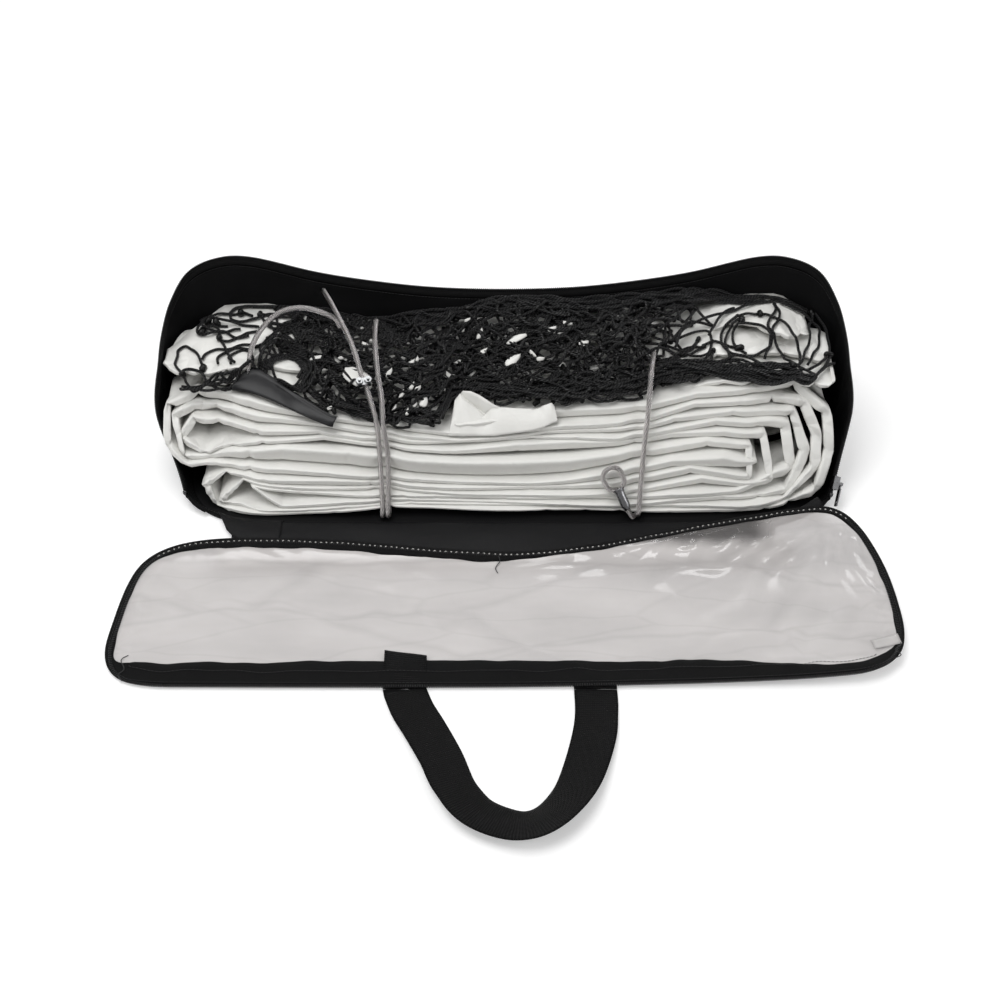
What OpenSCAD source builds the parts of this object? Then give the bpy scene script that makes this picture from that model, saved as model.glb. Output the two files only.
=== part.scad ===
// Volleyball net folded into its open zip carry bag. The bag lies on its back panel,
// the clear lid is folded forward onto the ground and the carry handle lies in front.
// Millimetres. +X is to the right, +Y to the back of the bag and +Z up.
// The origin is the middle of the bag floor's underside.

/* [Bag floor and walls] */
// Length of the floor panel
floor_length = 640; // [600:10:680]
// Depth of the floor panel, front to back
floor_depth = 169; // [160:1:180]
// Radius of the floor's corners
floor_corner = 60; // [50:5:70]
// Thickness of the black fabric
fabric = 1.2; // [0.8:0.1:1.6]
// Width of the flat piping round the floor
piping = 3; // [2:0.5:4]
// How far the side walls lean outward at the rim
side_lean = 21; // [16:1:30]
// How far the back wall leans outward at the rim
back_lean = 65; // [60:1:75]
// How far the wall ends run forward of the floor
front_flare = 16; // [14:1:20]
// Outward belly of the walls
wall_belly = 5; // [0:1:8]
// Rim height at the two wall ends
rim_front = 5; // [4:0.5:8]
// Rim height at the foot of the zip's straight run
rim_low = 14; // [12:1:18]
// Rim height at the head of the zip's straight run
rim_side = 60; // [56:1:66]
// Rim height at the two rear corners
rim_corner = 147; // [140:1:160]
// Rim height at the middle of the back wall
rim_back = 105; // [103:1:112]

/* [Lid and front panel] */
// Height of the closed bag, and length of the whole front panel
closed_height = 124; // [122:1:126]
// Distance from the floor's front edge to the lid hinge, lid open
hinge_reach = 42; // [42:1:48]
// Depth of the lid
lid_depth = 161; // [156:1:164]
// Half the length of the lid at its front edge
lid_half = 362; // [352:1:380]
// How much each side of the lid draws in towards the hinge
lid_taper = 18; // [0:1:24]
// Radius of the lid's front corners
lid_front_corner = 48; // [40:1:60]
// Radius of the lid's rear corners
lid_rear_corner = 34; // [28:1:44]
// Width of the front panel
panel_width = 500; // [460:10:510]
// Thickness of the clear film
film = 0.8; // [0.5:0.1:1.2]
// Depth of the black band along the lid's front edge
band_depth = 25; // [20:1:32]
// Width of the black edge binding
binding = 9; // [7:0.5:12]
// Depth of the binding at the lid hinge
hinge_binding = 8; // [6:0.5:11]
// Thickness of the band and the bindings
trim = 1.4; // [1:0.1:1.8]

/* [Zip] */
// Width of the bare zip tape
zip_tape = 5; // [4:0.5:7]
// Thickness of the zip tape
zip_tape_thick = 0.8; // [0.6:0.1:1]
// Width of one row of teeth
chain_width = 3.4; // [3:0.1:4]
// Thickness of one row of teeth
chain_thick = 2.4; // [2:0.1:3]
// Length of the slider
slider_length = 13; // [11:0.5:16]
// Wall of the slider
slider_wall = 1.3; // [1:0.1:1.6]
// Clearance between the slider and the teeth
slider_gap = 0.5; // [0.4:0.1:0.8]
// Travel of the slider along the straight run
slider_travel = 52; // [40:1:54]
// Length of the pull
pull_length = 22; // [16:1:26]
// Width of the pull
pull_width = 6; // [5:0.5:8]
// Thickness of the pull
pull_thick = 1.2; // [1:0.1:1.6]
// Radius of the bar that the pull turns on
bail_bar = 0.8; // [0.7:0.05:0.9]

/* [Handle] */
// Width of the webbing
webbing = 38; // [32:1:44]
// Thickness of the webbing
webbing_thick = 1.3; // [1:0.1:1.4]
// Gap between the webbing and the lid edge where it folds
fold_gap = 0.6; // [0.4:0.1:1]
// How far the left sewn end shows past the band
tab_show = 9; // [4:1:14]

/* [Net tapes] */
// Width of the white head tape
head_width = 70; // [60:1:72]
// Thickness of one layer of the tapes
tape_thick = 3; // [2:0.1:3.4]
// Height of the head tape's stack at its middle
stack_middle = 66; // [62:1:70]
// Extra height of the stack at its ends
stack_spread = 24; // [20:1:26]
// Width of the white foot tape
foot_width = 38; // [32:1:40]
// Height of the foot tape's stack at its middle
foot_middle = 54; // [44:1:56]
// Length of the charcoal side strip
strip_length = 104; // [90:1:120]
// Width of the charcoal side strip
strip_width = 24; // [18:1:28]

/* [Net mesh] */
// Height of the black mesh above the tapes, at the middle
mesh_rise = 30; // [24:1:31]
// Height of the lumps on the mesh
mesh_lumps = 3; // [0:0.5:4]

/* [Cable] */
// Diameter of the coated steel cable
cable = 4.5; // [3.6:0.1:5]
// Inner width of the end eye
eye_width = 17; // [14:1:20]
// Length of the crimped ferrule
ferrule_length = 19; // [15:1:22]
// Diameter of the U-bolt's rod
ubolt_rod = 2.6; // [2:0.1:3]
// Width of the clip's hexagon nuts across the flats
nut_flats = 6.4; // [5.5:0.1:7]

/* [Hidden] */

$fn = 48;
slack = 0.3;                               // gap between pieces of different bodies
half_x = floor_length / 2;
half_y = floor_depth / 2;

// ---------- small helpers ----------
function mix(a, b, t) = a + (b - a) * t;
function unit(v) = v / norm(v);
function bell(x, middle, width) = exp(-pow((x - middle) / width, 2));
function smooth(t) = let (c = min(1, max(0, t))) c * c * (3 - 2 * c);
function flip(p) = [-p.x, p.y, p.z];
function reversed(list) = [for (i = [len(list) - 1:-1:0]) list[i]];

// Cubic through a and b, leaving along m and arriving along n
function cubic(a, b, m, n, t) =
    (2 * t * t * t - 3 * t * t + 1) * a + (t * t * t - 2 * t * t + t) * m
    + (3 * t * t - 2 * t * t * t) * b + (t * t * t - t * t) * n;

// Smooth line through hand-set points, with steps between each pair
function spline(p, steps) =
    let (last = len(p) - 1,
         slope = [for (i = [0:last]) (p[min(i + 1, last)] - p[max(i - 1, 0)]) / 2])
    [for (i = [0:last - 1]) for (s = [0:steps - 1])
        cubic(p[i], p[i + 1], slope[i], slope[i + 1], s / steps), p[last]];

// Angles for rotate() that turn X, Y and Z onto three square directions
function turn(ex, ey, ez) = [atan2(ey.z, ez.z), asin(-ex.z), atan2(ex.y, ex.x)];

// Solid skin through equal rings of points, with a cap laddered across each end
module skin(rings) {
    n = len(rings);
    m = len(rings[0]);
    points = [for (ring = rings) each ring];
    sides = [for (i = [0:n - 2]) for (j = [0:m - 1])
        let (a = i * m + j, b = i * m + (j + 1) % m)
        each [[a, b + m, b], [a, a + m, b + m]]];
    ladder = [for (j = [0:m / 2 - 2])
        let (k = m - 1 - j)
        each [[j, j + 1, k], [j + 1, k - 1, k]]];
    top = (n - 1) * m;
    far = [for (f = ladder) [top + f[2], top + f[1], top + f[0]]];
    polyhedron(points, concat(sides, ladder, far));
}

// Rings of a round tube along a line of points
function tube_rings(line, radius, sides) =
    let (last = len(line) - 1)
    [for (i = [0:last])
        let (t = unit(line[min(i + 1, last)] - line[max(i - 1, 0)]),
             side = unit(cross(abs(t.x) < 0.9 ? [1, 0, 0] : [0, 1, 0], t)),
             up = cross(t, side))
        [for (j = [0:sides - 1])
            line[i] + radius * (cos(360 * j / sides) * side + sin(360 * j / sides) * up)]];

// ---------- floor outline and wall rim ----------
// Point of the right half of the floor outline: 0 to 1 is the front corner's arc,
// 1 to 2 the side, 2 to 3 the rear corner's arc and 3 to 4 the back edge to the middle
function floor_point(q) =
    let (cx = half_x - floor_corner, cy = half_y - floor_corner)
    q < 1 ? [cx + floor_corner * sin(90 * q), -cy - floor_corner * cos(90 * q), fabric] :
    q < 2 ? [half_x, mix(-cy, cy, q - 1), fabric] :
    q < 3 ? [cx + floor_corner * cos(90 * (q - 2)), cy + floor_corner * sin(90 * (q - 2)), fabric] :
    [mix(cx, 0, q - 3), half_y, fabric];

// Keys of the right half of the rim: place on the floor outline, lean out along X
// and Y, and height, from the front end of the wall to the middle of the back
rim_keys = [
    [0.00, 0.1 * side_lean, -front_flare, rim_front],
    [0.67, 0.5 * side_lean, -6, rim_low],
    [1.45, side_lean, 0, rim_side],
    [1.91, side_lean, 0.34 * back_lean, mix(rim_side, rim_corner, 0.44)],
    [2.06, 0.95 * side_lean, 0.70 * back_lean, mix(rim_side, rim_corner, 0.60)],
    [2.24, 0.86 * side_lean, 0.90 * back_lean, mix(rim_side, rim_corner, 0.74)],
    [2.50, 0.76 * side_lean, back_lean, mix(rim_side, rim_corner, 0.91)],
    [2.76, 0.40 * side_lean, back_lean, rim_corner],
    [3.00, -0.24 * side_lean, back_lean, mix(rim_corner, rim_back, 0.03)],
    [3.27, 0, back_lean, mix(rim_corner, rim_back, 0.48)],
    [3.50, 0, back_lean, mix(rim_corner, rim_back, 0.76)],
    [3.73, 0, back_lean, mix(rim_corner, rim_back, 0.94)],
    [4.00, 0, back_lean, rim_back]];
wall_steps = 4;
function rim_key_point(k) =
    let (f = floor_point(rim_keys[k][0]))
    [f.x + rim_keys[k][1], f.y + rim_keys[k][2], rim_keys[k][3]];
rim_end = len(rim_keys) - 1;
// The run between keys 1 and 2 is straight, so that the slider can travel on it
run_start = rim_key_point(1);
run_end = rim_key_point(2);
function rim_slope(k) =
    (k == 1 || k == 2) ? run_end - run_start :
    k == rim_end ? [-70, 0, 0] :
    (rim_key_point(min(k + 1, rim_end)) - rim_key_point(max(k - 1, 0))) / 2;
// Stations of the right half, each [floor point, rim point]
half_stations = [for (k = [0:rim_end - 1]) for (s = [0:wall_steps - 1])
    let (t = s / wall_steps)
    [floor_point(mix(rim_keys[k][0], rim_keys[k + 1][0], t)),
     cubic(rim_key_point(k), rim_key_point(k + 1), rim_slope(k), rim_slope(k + 1), t)]];
middle_station = [[floor_point(4), rim_key_point(rim_end)]];
stations = concat(half_stations, middle_station,
                  [for (s = reversed(half_stations)) [flip(s[0]), flip(s[1])]]);
last_station = len(stations) - 1;
// Square directions at a station: up the wall and out of the wall. They stay as they
// are at its middle all along the straight run, so that the slider needn't turn.
function still(i) =
    (i >= wall_steps && i <= 2 * wall_steps) ? 1.5 * wall_steps :
    (i >= last_station - 2 * wall_steps && i <= last_station - wall_steps)
        ? last_station - 1.5 * wall_steps : i;
function wall_up(i) = unit(stations[still(i)][1] - stations[still(i)][0]);
function wall_out(i) =
    let (k = still(i),
         t = stations[min(k + 1, last_station)][1] - stations[max(k - 1, 0)][1])
    unit(cross(t, wall_up(i)));
// Rings of a strip that follows the rim: low and high are measured up the wall from
// the rim, inner and outer across it
function rim_rings(low, high, inner, outer, first, last) =
    [for (i = [first:last])
        let (p = stations[i][1], up = wall_up(i), out = wall_out(i))
        [p + low * up + inner * out, p + high * up + inner * out,
         p + high * up + outer * out, p + low * up + outer * out]];

wall_stop = chain_width + zip_tape;        // bare zip above the wall's top edge
zip_lap = 0.8;                             // zip tape sewn behind the wall's top edge
sew_gap = 0.15;                            // between pieces sewn to each other
zip_outer = -fabric - 2.5 * slack;
zip_inner = zip_outer - zip_tape_thick;
zip_middle = (zip_inner + zip_outer) / 2;

// ---------- lid outline ----------
// The front panel lies folded in three, like a Z. Its lower third reaches the lid
// hinge, the middle third comes back and the upper third goes forward again.
fold_depth = (closed_height - hinge_reach) / 2;
panel_thick = 1;
panel_gap = 0.3;
panel_lap = 0.25;                          // past its hinge line, towards the floor
panel_edge_y = -half_y - panel_thick / 2 - slack;
hinge_y = panel_edge_y - hinge_reach;
hinge_clear = 0.82;                        // from the lid hinge's axis to the lid
hinge_end = 0.05;                          // from that axis to the front panel's end
lid_front_y = hinge_y - lid_depth;
back_fold_y = hinge_y + fold_depth;
panel_level = panel_thick + panel_gap;     // from one layer of the fold to the next
film_bottom = 2 * panel_level;
echo(rise_axis = [0, panel_edge_y, panel_thick / 2],
     front_fold = [0, hinge_y, panel_level - panel_gap / 2],
     back_fold = [0, back_fold_y, 2 * panel_level - panel_gap / 2],
     lid_hinge = [0, hinge_y, 2 * panel_level + panel_thick / 2]);
lid_top = film_bottom + film;
teeth_bottom = webbing_thick + 0.1;        // the webbing's sewn ends lie below

// Corner arcs of the lid, drawn in by inset, with the sides slanted by lid_taper
function lid_arc(cx, cy, r, from) =
    [for (a = [0:9:90]) [cx + r * cos(from + a), cy + r * sin(from + a)]];
function lid_outline(inset) =
    let (rf = lid_front_corner - inset, rr = lid_rear_corner - inset,
         x_f = lid_half - lid_front_corner, x_r = lid_half - lid_rear_corner,
         y_f = lid_front_y + lid_front_corner, y_r = hinge_y - lid_rear_corner,
         square_line = concat(lid_arc(x_r, y_r, rr, 0), lid_arc(-x_r, y_r, rr, 90),
                              lid_arc(-x_f, y_f, rf, 180), lid_arc(x_f, y_f, rf, 270)))
    [for (p = square_line)
        [p.x - sign(p.x) * lid_taper * (p.y - lid_front_y) / lid_depth, p.y]];
teeth_in = chain_width;
tape_in = teeth_in + zip_tape;
edge_in = tape_in + binding;
band_y = lid_front_y + tape_in + band_depth;

module lid_ring(outer, inner) {
    difference() {
        polygon(lid_outline(outer));
        polygon(lid_outline(inner));
    }
}

// Strip across the lid between two Y values
module lid_slice(from_y, to_y) {
    translate([-lid_half, from_y])
        square([2 * lid_half, to_y - from_y]);
}

// ---------- folded tapes ----------
tie_left = -116;
tie_right = 126;
stack_floor = fabric + tape_thick / 2 + slack;
// Stations along X at which every layer has a ring, closer together at the ties
stack_x = [-290, -250, -210, -178, -152, -132, -116, -100, -80, -50, -10,
           35, 78, 104, 126, 150, 180, 215, 250, 290];
// Height of the whole stack, pinched where the cable ties it
height_table = [for (x = stack_x) [x, stack_middle + stack_spread * pow(x / 300, 2)
    - 15 * bell(x, tie_left, 42) - 4 * bell(x, tie_right, 34)]];
// Middle of the lowest layer, which the ties lift by a cable's thickness
lift_table = [for (x = stack_x) [x, stack_floor
    + (cable + 4 * slack) * (bell(x, tie_left, 42) + bell(x, tie_right, 42))]];
function stack_height(x) = lookup(x, height_table);
function stack_lift(x) = lookup(x, lift_table);
layer_count = 13;
function layer_z(k, x) =
    stack_lift(x) + (layer_count - k) * stack_height(x) / (layer_count - 1);
// The layers' front edges lean back at 45 degrees and draw in at the ends
front_foot = -half_y + 3;
function stack_front(x, z) = front_foot + z + 10 * smooth((abs(x) - 225) / 60);
function head_depth(x) = head_width - 25 * smooth((abs(x) - 215) / 60);

// The ends a and b of a layer, and the stations more than 5 mm inside them
function layer_stations(a, b) =
    let (low = min(a, b), high = max(a, b),
         line = [low, for (x = stack_x) if (x > low + 5 && x < high - 5) x, high])
    a < b ? line : reversed(line);
function layer_line(k, a, b) = [for (x = layer_stations(a, b)) [x, layer_z(k, x)]];
// Hairpin between layers k and m, whose bend starts at x = a and reaches tip
turn_steps = 5;
function hairpin(k, m, a, tip) =
    let (z1 = layer_z(k, a), z2 = layer_z(m, a), mid = (z1 + z2) / 2, r = (z1 - z2) / 2)
    [for (i = [1:turn_steps - 1])
        let (t = 180 * i / turn_steps)
        [a + (tip - a) * sin(t), mid + r * cos(t)]];

// The one unbroken fold: the tape starts as the flap on top, and each pair is two
// layers joined by a hairpin, on the right, then on the left, and so on
fold_order = [1, 13, 8, 6, 3, 11, 10, 4, 5, 9, 12, 2, 7];
flap_x = -8;
inner_end_x = 236;
left_tip_upper = -half_x - 12;
left_tip_lower = -half_x + 30;
right_tip = half_x + 4.5;
tip_step = 12;
// How far a hairpin lies inside the outermost one of its nest
function nest(k, m) = abs(k - m) >= 11 ? 0 : abs(k - m) >= 9 ? 1 : abs(k - m) >= 7 ? 2 :
    abs(k - m) >= 5 ? 3 : abs(k - m) >= 3 ? 4 : 5;
function bend_tip(k, m, right) =
    right ? right_tip - tip_step * nest(k, m) :
    let (inner = (5 - abs(k - m)) / 2)
    (max(k, m) <= 7 ? left_tip_upper : left_tip_lower) + inner * tip_step;
function bend_start(k, m, right) =
    bend_tip(k, m, right) - (right ? 1 : -1) * (8 + 2.9 * abs(k - m));
function head_line() = [for (i = [0:layer_count - 1])
    let (k = fold_order[i],
         to_right = i % 2 == 0,
         before = i == 0 ? flap_x : bend_start(fold_order[i - 1], k, !to_right),
         after = i == layer_count - 1 ? inner_end_x
                                      : bend_start(k, fold_order[i + 1], to_right))
    each concat(layer_line(k, before, after),
                i == layer_count - 1 ? [] :
                hairpin_between(k, fold_order[i + 1], after, to_right))];
function hairpin_between(k, m, a, right) =
    k < m ? hairpin(k, m, a, bend_tip(k, m, right))
          : reversed(hairpin(m, k, a, bend_tip(k, m, right)));

// Rings of a flat tape on edge along a line of [x, z]: its front edge is at front and
// it runs depth back
function tape_rings(line, thick) =
    let (last = len(line) - 1)
    [for (i = [0:last])
        let (t = unit(line[min(i + 1, last)] - line[max(i - 1, 0)]),
             up = thick / 2 * [-t.y, t.x],
             x = line[i].x, z = line[i].y,
             front = stack_front(x, z), back = front + head_depth(x))
        [[x + up.x, front, z + up.y], [x - up.x, front, z - up.y],
         [x - up.x, back, z - up.y], [x + up.x, back, z + up.y]]];

// Least gap between layers of the head tape, measured across its own points
head_points = head_line();
head_gap = min([for (i = [0:len(head_points) - 1]) for (j = [i + 5:1:len(head_points) - 1])
    norm(head_points[i] - head_points[j])]) - tape_thick;
echo(head_tape_least_gap = head_gap);

// The foot tape lies behind the head tape in a plain zigzag of layers
foot_count = 7;
foot_tip = half_x - 36;
foot_bend = 14;
function foot_height(x) = stack_height(x) - stack_middle + foot_middle;
function foot_z(k, x) = stack_lift(x) + k * foot_height(x) / (foot_count - 1);
function foot_front(z) = front_foot + head_width + tape_thick + slack + z;
function foot_line() = [for (k = [0:foot_count - 1])
    let (side = k % 2 == 0 ? 1 : -1, edge = foot_tip - foot_bend)
    each concat([for (x = layer_stations(-side * edge, side * edge)) [x, foot_z(k, x)]],
                k == foot_count - 1 ? [] : [for (i = [1:turn_steps - 1])
                    let (t = 180 * i / turn_steps,
                         z1 = foot_z(k, edge), z2 = foot_z(k + 1, edge))
                    [side * (edge + foot_bend * sin(t)),
                     (z1 + z2) / 2 - (z2 - z1) / 2 * cos(t)]])];
function foot_rings(line) =
    let (last = len(line) - 1)
    [for (i = [0:last])
        let (t = unit(line[min(i + 1, last)] - line[max(i - 1, 0)]),
             up = tape_thick / 2 * [-t.y, t.x],
             x = line[i].x, z = line[i].y,
             front = foot_front(z), back = front + foot_width)
        [[x + up.x, front, z + up.y], [x - up.x, front, z - up.y],
         [x - up.x, back, z - up.y], [x + up.x, back, z + up.y]]];

// ---------- black mesh ----------
mesh_end = half_x - 20;
mesh_cut = 40;
// Top of the head tape: its top layer is the flap, which ends at flap_x
function head_top(x) = tape_thick / 2
    + mix(layer_z(1, x), layer_z(2, x), smooth((flap_x - 4 - x) / 30));
// Underside of the mesh, just above the head tape
function mesh_base(x) = head_top(x) + 2 * slack;
function mesh_thick(x) = mesh_rise - 16 * pow(x / 300, 2)
    - 6 * smooth((abs(x) - mesh_end + 20) / 20);
// Furthest back that the mesh reaches at height z, clear of the leaning wall
function mesh_back(x, z) = half_y - 6 + (0.60 - 0.15 * pow(x / 300, 2)) * z
    - 14 * pow(max(0, abs(x) - 240) / 60, 2);
strip_middle = -212;
function lump(x, j) = mesh_lumps * (sin(7.1 * x + 83 * j) + 0.6 * sin(3.3 * x - 131 * j)) / 2;
function mesh_ring(x) =
    let (zb = mesh_base(x), th = mesh_thick(x), hang = 26 * max(0, 1 - pow(x / 260, 2)),
         low = zb - hang, top = zb + th, y1 = mesh_back(x, low), y2 = mesh_back(x, zb + 0.6 * th),
         front = stack_front(x, zb) + 8 + 30 * bell(x, strip_middle, 75))
    [[x, front, zb], [x, mix(front, y2, 0.3), zb], [x, mix(front, y2, 0.6), zb],
     [x, y1 - 11, zb - 1], [x, y1 - 9, low], [x, y1 - 2, low - 1],
     [x, mesh_back(x, zb), zb], [x, y2, zb + 0.6 * th],
     [x, y2 - 8, zb + 0.86 * th + lump(x, 1)], [x, y2 - 22, top + lump(x, 2)],
     [x, mix(front, y2, 0.62), zb + 0.93 * th + lump(x, 3)],
     [x, mix(front, y2, 0.46), zb + 0.85 * th + lump(x, 4)],
     [x, mix(front, y2, 0.3), zb + 0.72 * th + lump(x, 5)],
     [x, mix(front, y2, 0.16), zb + 0.6 * th + lump(x, 6)],
     [x, front + 3, zb + 0.45 * th + lump(x, 7)], [x, front - 2, zb + 0.2 * th]];

// ---------- cables ----------
cable_radius = cable / 2;
cable_sides = 8;
arc_route = [[-250, 22, 96], [-246, 56, 110], [-228, 90, 117], [-202, 102, 117.5],
             [-172, 97, 114]];
front_tie_route = [[-180, 127, 104], [-168, 99, 115], [-150, 58, 107], [-140, 28, 95],
                   [-134, 6, 86], [-128, -20, 70], [-122, -41, 46], [-120, -71, 17],
                   [-120, -80, 9], [-120, -77, 4.2], [-120, -60, 4]];
rear_tie_route = [[-128, 127, 104], [-128, 99, 115], [-127, 58, 106], [-123, 26, 93],
                  [-119, 4, 84], [-114, -20, 70], [-110, -41, 46], [-108, -71, 17],
                  [-108, -80, 9], [-108, -77, 4.2], [-108, -60, 4]];
// The eye lies on the tapes' sloping front. Its ferrule points up and to the left.
ferrule_foot = [118.5, -77, 14];
ferrule_axis = unit([-6, 9, 9.6]);
slope_out = [0, -0.7071, 0.7071];
eye_side = unit(cross(ferrule_axis, slope_out));
eye_out = cross(eye_side, ferrule_axis);
eye_reach = eye_width * 1.25;
eye_start = ferrule_foot + ferrule_length * ferrule_axis;
echo(eye_middle = eye_start + eye_reach / 2 * ferrule_axis);
right_route = [[147, 50, 109], [143.5, 24, 103], [140.5, 0, 91], [138.5, -18, 76],
               [135, -38, 50], [131, -71, 17], [130, -80, 9], [127.5, -77, 4.2],
               [124, -80, 5], ferrule_foot - ferrule_axis];
cable_steps = 2;
tie_line = spline(front_tie_route, cable_steps);

module cable_tube(route) {
    skin(tube_rings(spline(route, cable_steps), cable_radius, cable_sides));
}

// ---------- clip ----------
// It sits on the front tie, between the fourth and fifth points of its route
clip_ring = 3 * cable_steps + 1;
clip_center = tie_line[clip_ring];
clip_along = unit(tie_line[clip_ring + 1] - tie_line[clip_ring - 1]);
clip_side = unit(cross(clip_along, [0, 0, 1]));
clip_out = cross(clip_side, clip_along);
clip_angles = turn(clip_side, clip_along, clip_out);
clip_bore = cable_radius + 0.4;
clip_leg = clip_bore + ubolt_rod / 2 + 0.3;

// ---------- zip slider ----------
run_along = unit(run_end - run_start);
run_out = wall_out(wall_steps);
run_up = cross(run_out, run_along);
slider_park = 12;                          // from the foot of the straight run
slider_angles = turn(run_along, run_up, run_out);
slider_origin = run_start + slider_park * run_along + zip_middle * run_out;
slider_half = chain_thick / 2 + slider_gap + slider_wall;
bail_lift = slider_half + 2.6;
echo(slide_axis = run_along, slider_origin = slider_origin, pull_axis = run_up,
     pull_pivot = slider_origin + bail_lift * run_out);

module in_slider_frame() {
    translate(slider_origin)
        rotate(slider_angles)
            children();
}

// ================= bag =================
module floor_shape(grow) {
    r = floor_corner + grow;
    x = half_x - floor_corner;
    y = half_y - floor_corner;
    square([2 * x, 2 * (half_y + grow)], center = true);
    square([2 * (half_x + grow), 2 * y], center = true);
    for (sx = [-1, 1]) for (sy = [-1, 1])
        translate([sx * x, sy * y])
            circle(r);
}

module bag_floor() {
    color("#17181a")
        linear_extrude(fabric)
            floor_shape(0);
}

module floor_piping() {
    color("#0f1011")
        difference() {
            linear_extrude(fabric)
                floor_shape(piping);
            translate([0, 0, -1])
                linear_extrude(fabric + 2)
                    floor_shape(0);
            translate([-panel_width, -2 * half_y - front_flare, -1])
                cube([2 * panel_width, half_y + front_flare + floor_corner, fabric + 2]);
        }
}

module bag_wall() {
    levels = [0, 0.33, 0.67, 1];
    rings = [for (i = [0:last_station])
        let (f = stations[i][0], up = wall_up(i), out = wall_out(i),
             top = stations[i][1] - wall_stop * up,
             face = [for (t = levels) mix(f, top, t) + wall_belly * sin(180 * t)
                 * min(1, norm(top - f) / rim_back) * out])
        concat([for (p = face) p - fabric * out], reversed(face))];
    color("#1b1c1e")
        skin(rings);
}

module wall_zip_tape() {
    color("#101112")
        skin(rim_rings(-wall_stop - zip_lap, -chain_width - sew_gap, zip_inner, zip_outer,
                       1, last_station - 1));
}

module wall_zip_chain() {
    color("#0b0b0c")
        skin(rim_rings(-chain_width, 0, zip_middle - chain_thick / 2,
                       zip_middle + chain_thick / 2, 2, last_station - 2));
}

// Stops that close both ends of the wall's row of teeth
module zip_stops() {
    color("#9a9c9e")
        for (pair = [[1, 2], [last_station - 2, last_station - 1]])
            skin([for (i = pair)
                let (end_gap = sew_gap * (i == 2 ? -1 : i == last_station - 2 ? 1 : 0),
                     t = unit(stations[pair[1]][1] - stations[pair[0]][1]),
                     p = stations[i][1] + end_gap * t, up = wall_up(i), out = wall_out(i),
                     inner = zip_middle - chain_thick / 2, outer = zip_middle + chain_thick / 2)
                [p - chain_width * up + inner * out, p + inner * out,
                 p + outer * out, p - chain_width * up + outer * out]]);
}

// ================= net =================
module head_tape() {
    color("#e6e5e0")
        skin(tape_rings(head_points, tape_thick));
}

module foot_tape() {
    color("#dcdbd6")
        skin(foot_rings(foot_line()));
}

module net_mesh() {
    color("#141415")
        skin([for (i = [0:mesh_cut]) mesh_ring(mix(-mesh_end, mesh_end, i / mesh_cut))]);
}

// The strip lies on the head tape's top layer, in front of the mesh
module side_strip() {
    cut = strip_width / 3;
    lean = 6;
    across = strip_length / 2;
    z = head_top(strip_middle);
    color("#3b3c3e")
        translate([strip_middle, stack_front(strip_middle, z) + 3, z + slack])
            rotate([lean, 7, -4])
                translate([-across, 0, across * sin(7)])
                    linear_extrude(1.6)
                        polygon([[0, 0], [2 * across, 0], [2 * across, strip_width - cut],
                                 [2 * across - cut, strip_width], [0, strip_width]]);
}

module cable_arc() {
    color("#9c9a98")
        cable_tube(arc_route);
}

module cable_tie_front() {
    color("#a3a19f")
        cable_tube(front_tie_route);
}

module cable_tie_rear() {
    color("#8f8d8b")
        cable_tube(rear_tie_route);
}

module cable_right() {
    color("#a3a19f")
        cable_tube(right_route);
}

// Eye: the cable leaves the ferrule, goes round and comes back beside itself
module cable_eye() {
    apart = cable_radius + 0.25;
    wide = (eye_width + cable) / 2;
    turns = 9;
    line = [for (i = [0:turns])
        let (t = i / turns, a = 180 * (t * 2 - 1),
             along = eye_reach * (1 + cos(a)) / 2,
             across = sin(a) * wide * (0.6 + 0.4 * cos(a)))
        eye_start + (along + 4 * slack) * ferrule_axis
        + (across + (t < 0.5 ? -1 : 1) * apart * (1 - smooth(along / eye_reach * 2))) * eye_side];
    color("#a8a6a4")
        skin(tube_rings(line, cable_radius - 0.2, cable_sides));
}

module eye_ferrule() {
    body = cable_radius * 2 + 0.6;
    color("#c3c4c6")
        translate(ferrule_foot)
            rotate(turn(eye_out, eye_side, ferrule_axis))
                rotate_extrude()
                    polygon([[0, 0], [body * 0.62, 0], [body * 0.8, 1.2], [body, 6],
                             [body, ferrule_length - 4], [body * 1.12, ferrule_length - 2],
                             [body * 1.12, ferrule_length], [0, ferrule_length]]);
}

// Clip: a saddle on one side of the cable, a U-bolt round it and two nuts
module in_clip_frame() {
    translate(clip_center)
        rotate(clip_angles)
            children();
}

module clip_saddle() {
    half_w = clip_leg + ubolt_rod / 2 + 1.4;
    length = ubolt_rod + 5;
    color("#b9bbbe")
        in_clip_frame()
            difference() {
                translate([-half_w, -length / 2, 0.4])
                    cube([2 * half_w, length, cable_radius + 3]);
                rotate([90, 0, 0])
                    cylinder(h = length + 2, r = clip_bore, center = true);
                for (s = [-1, 1])
                    translate([s * clip_leg, 0, -1])
                        cylinder(h = 20, r = ubolt_rod / 2 + 0.15);
            }
}

module clip_ubolt() {
    leg = cable_radius + 9;
    color("#c9cbce")
        in_clip_frame() {
            for (s = [-1, 1])
                translate([s * clip_leg, 0, 0])
                    cylinder(h = leg, r = ubolt_rod / 2);
            rotate([-90, 0, 0])
                rotate_extrude(angle = 180)
                    translate([clip_leg, 0])
                        circle(ubolt_rod / 2);
        }
}

module clip_nuts() {
    color("#d2d4d6")
        in_clip_frame()
            for (s = [-1, 1])
                translate([s * clip_leg, 0, cable_radius + 3.4 + 0.1])
                    difference() {
                        cylinder(h = 3, r = nut_flats / sqrt(3), $fn = 6);
                        translate([0, 0, -1])
                            cylinder(h = 5, r = ubolt_rod / 2 + 0.1, $fn = 24);
                    }
}

// ================= front panel =================
module panel_lower() {
    color("#232427")
        translate([-panel_width / 2, hinge_y + slack, 0])
            cube([panel_width, hinge_reach - slack + panel_lap, panel_thick]);
}

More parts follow.
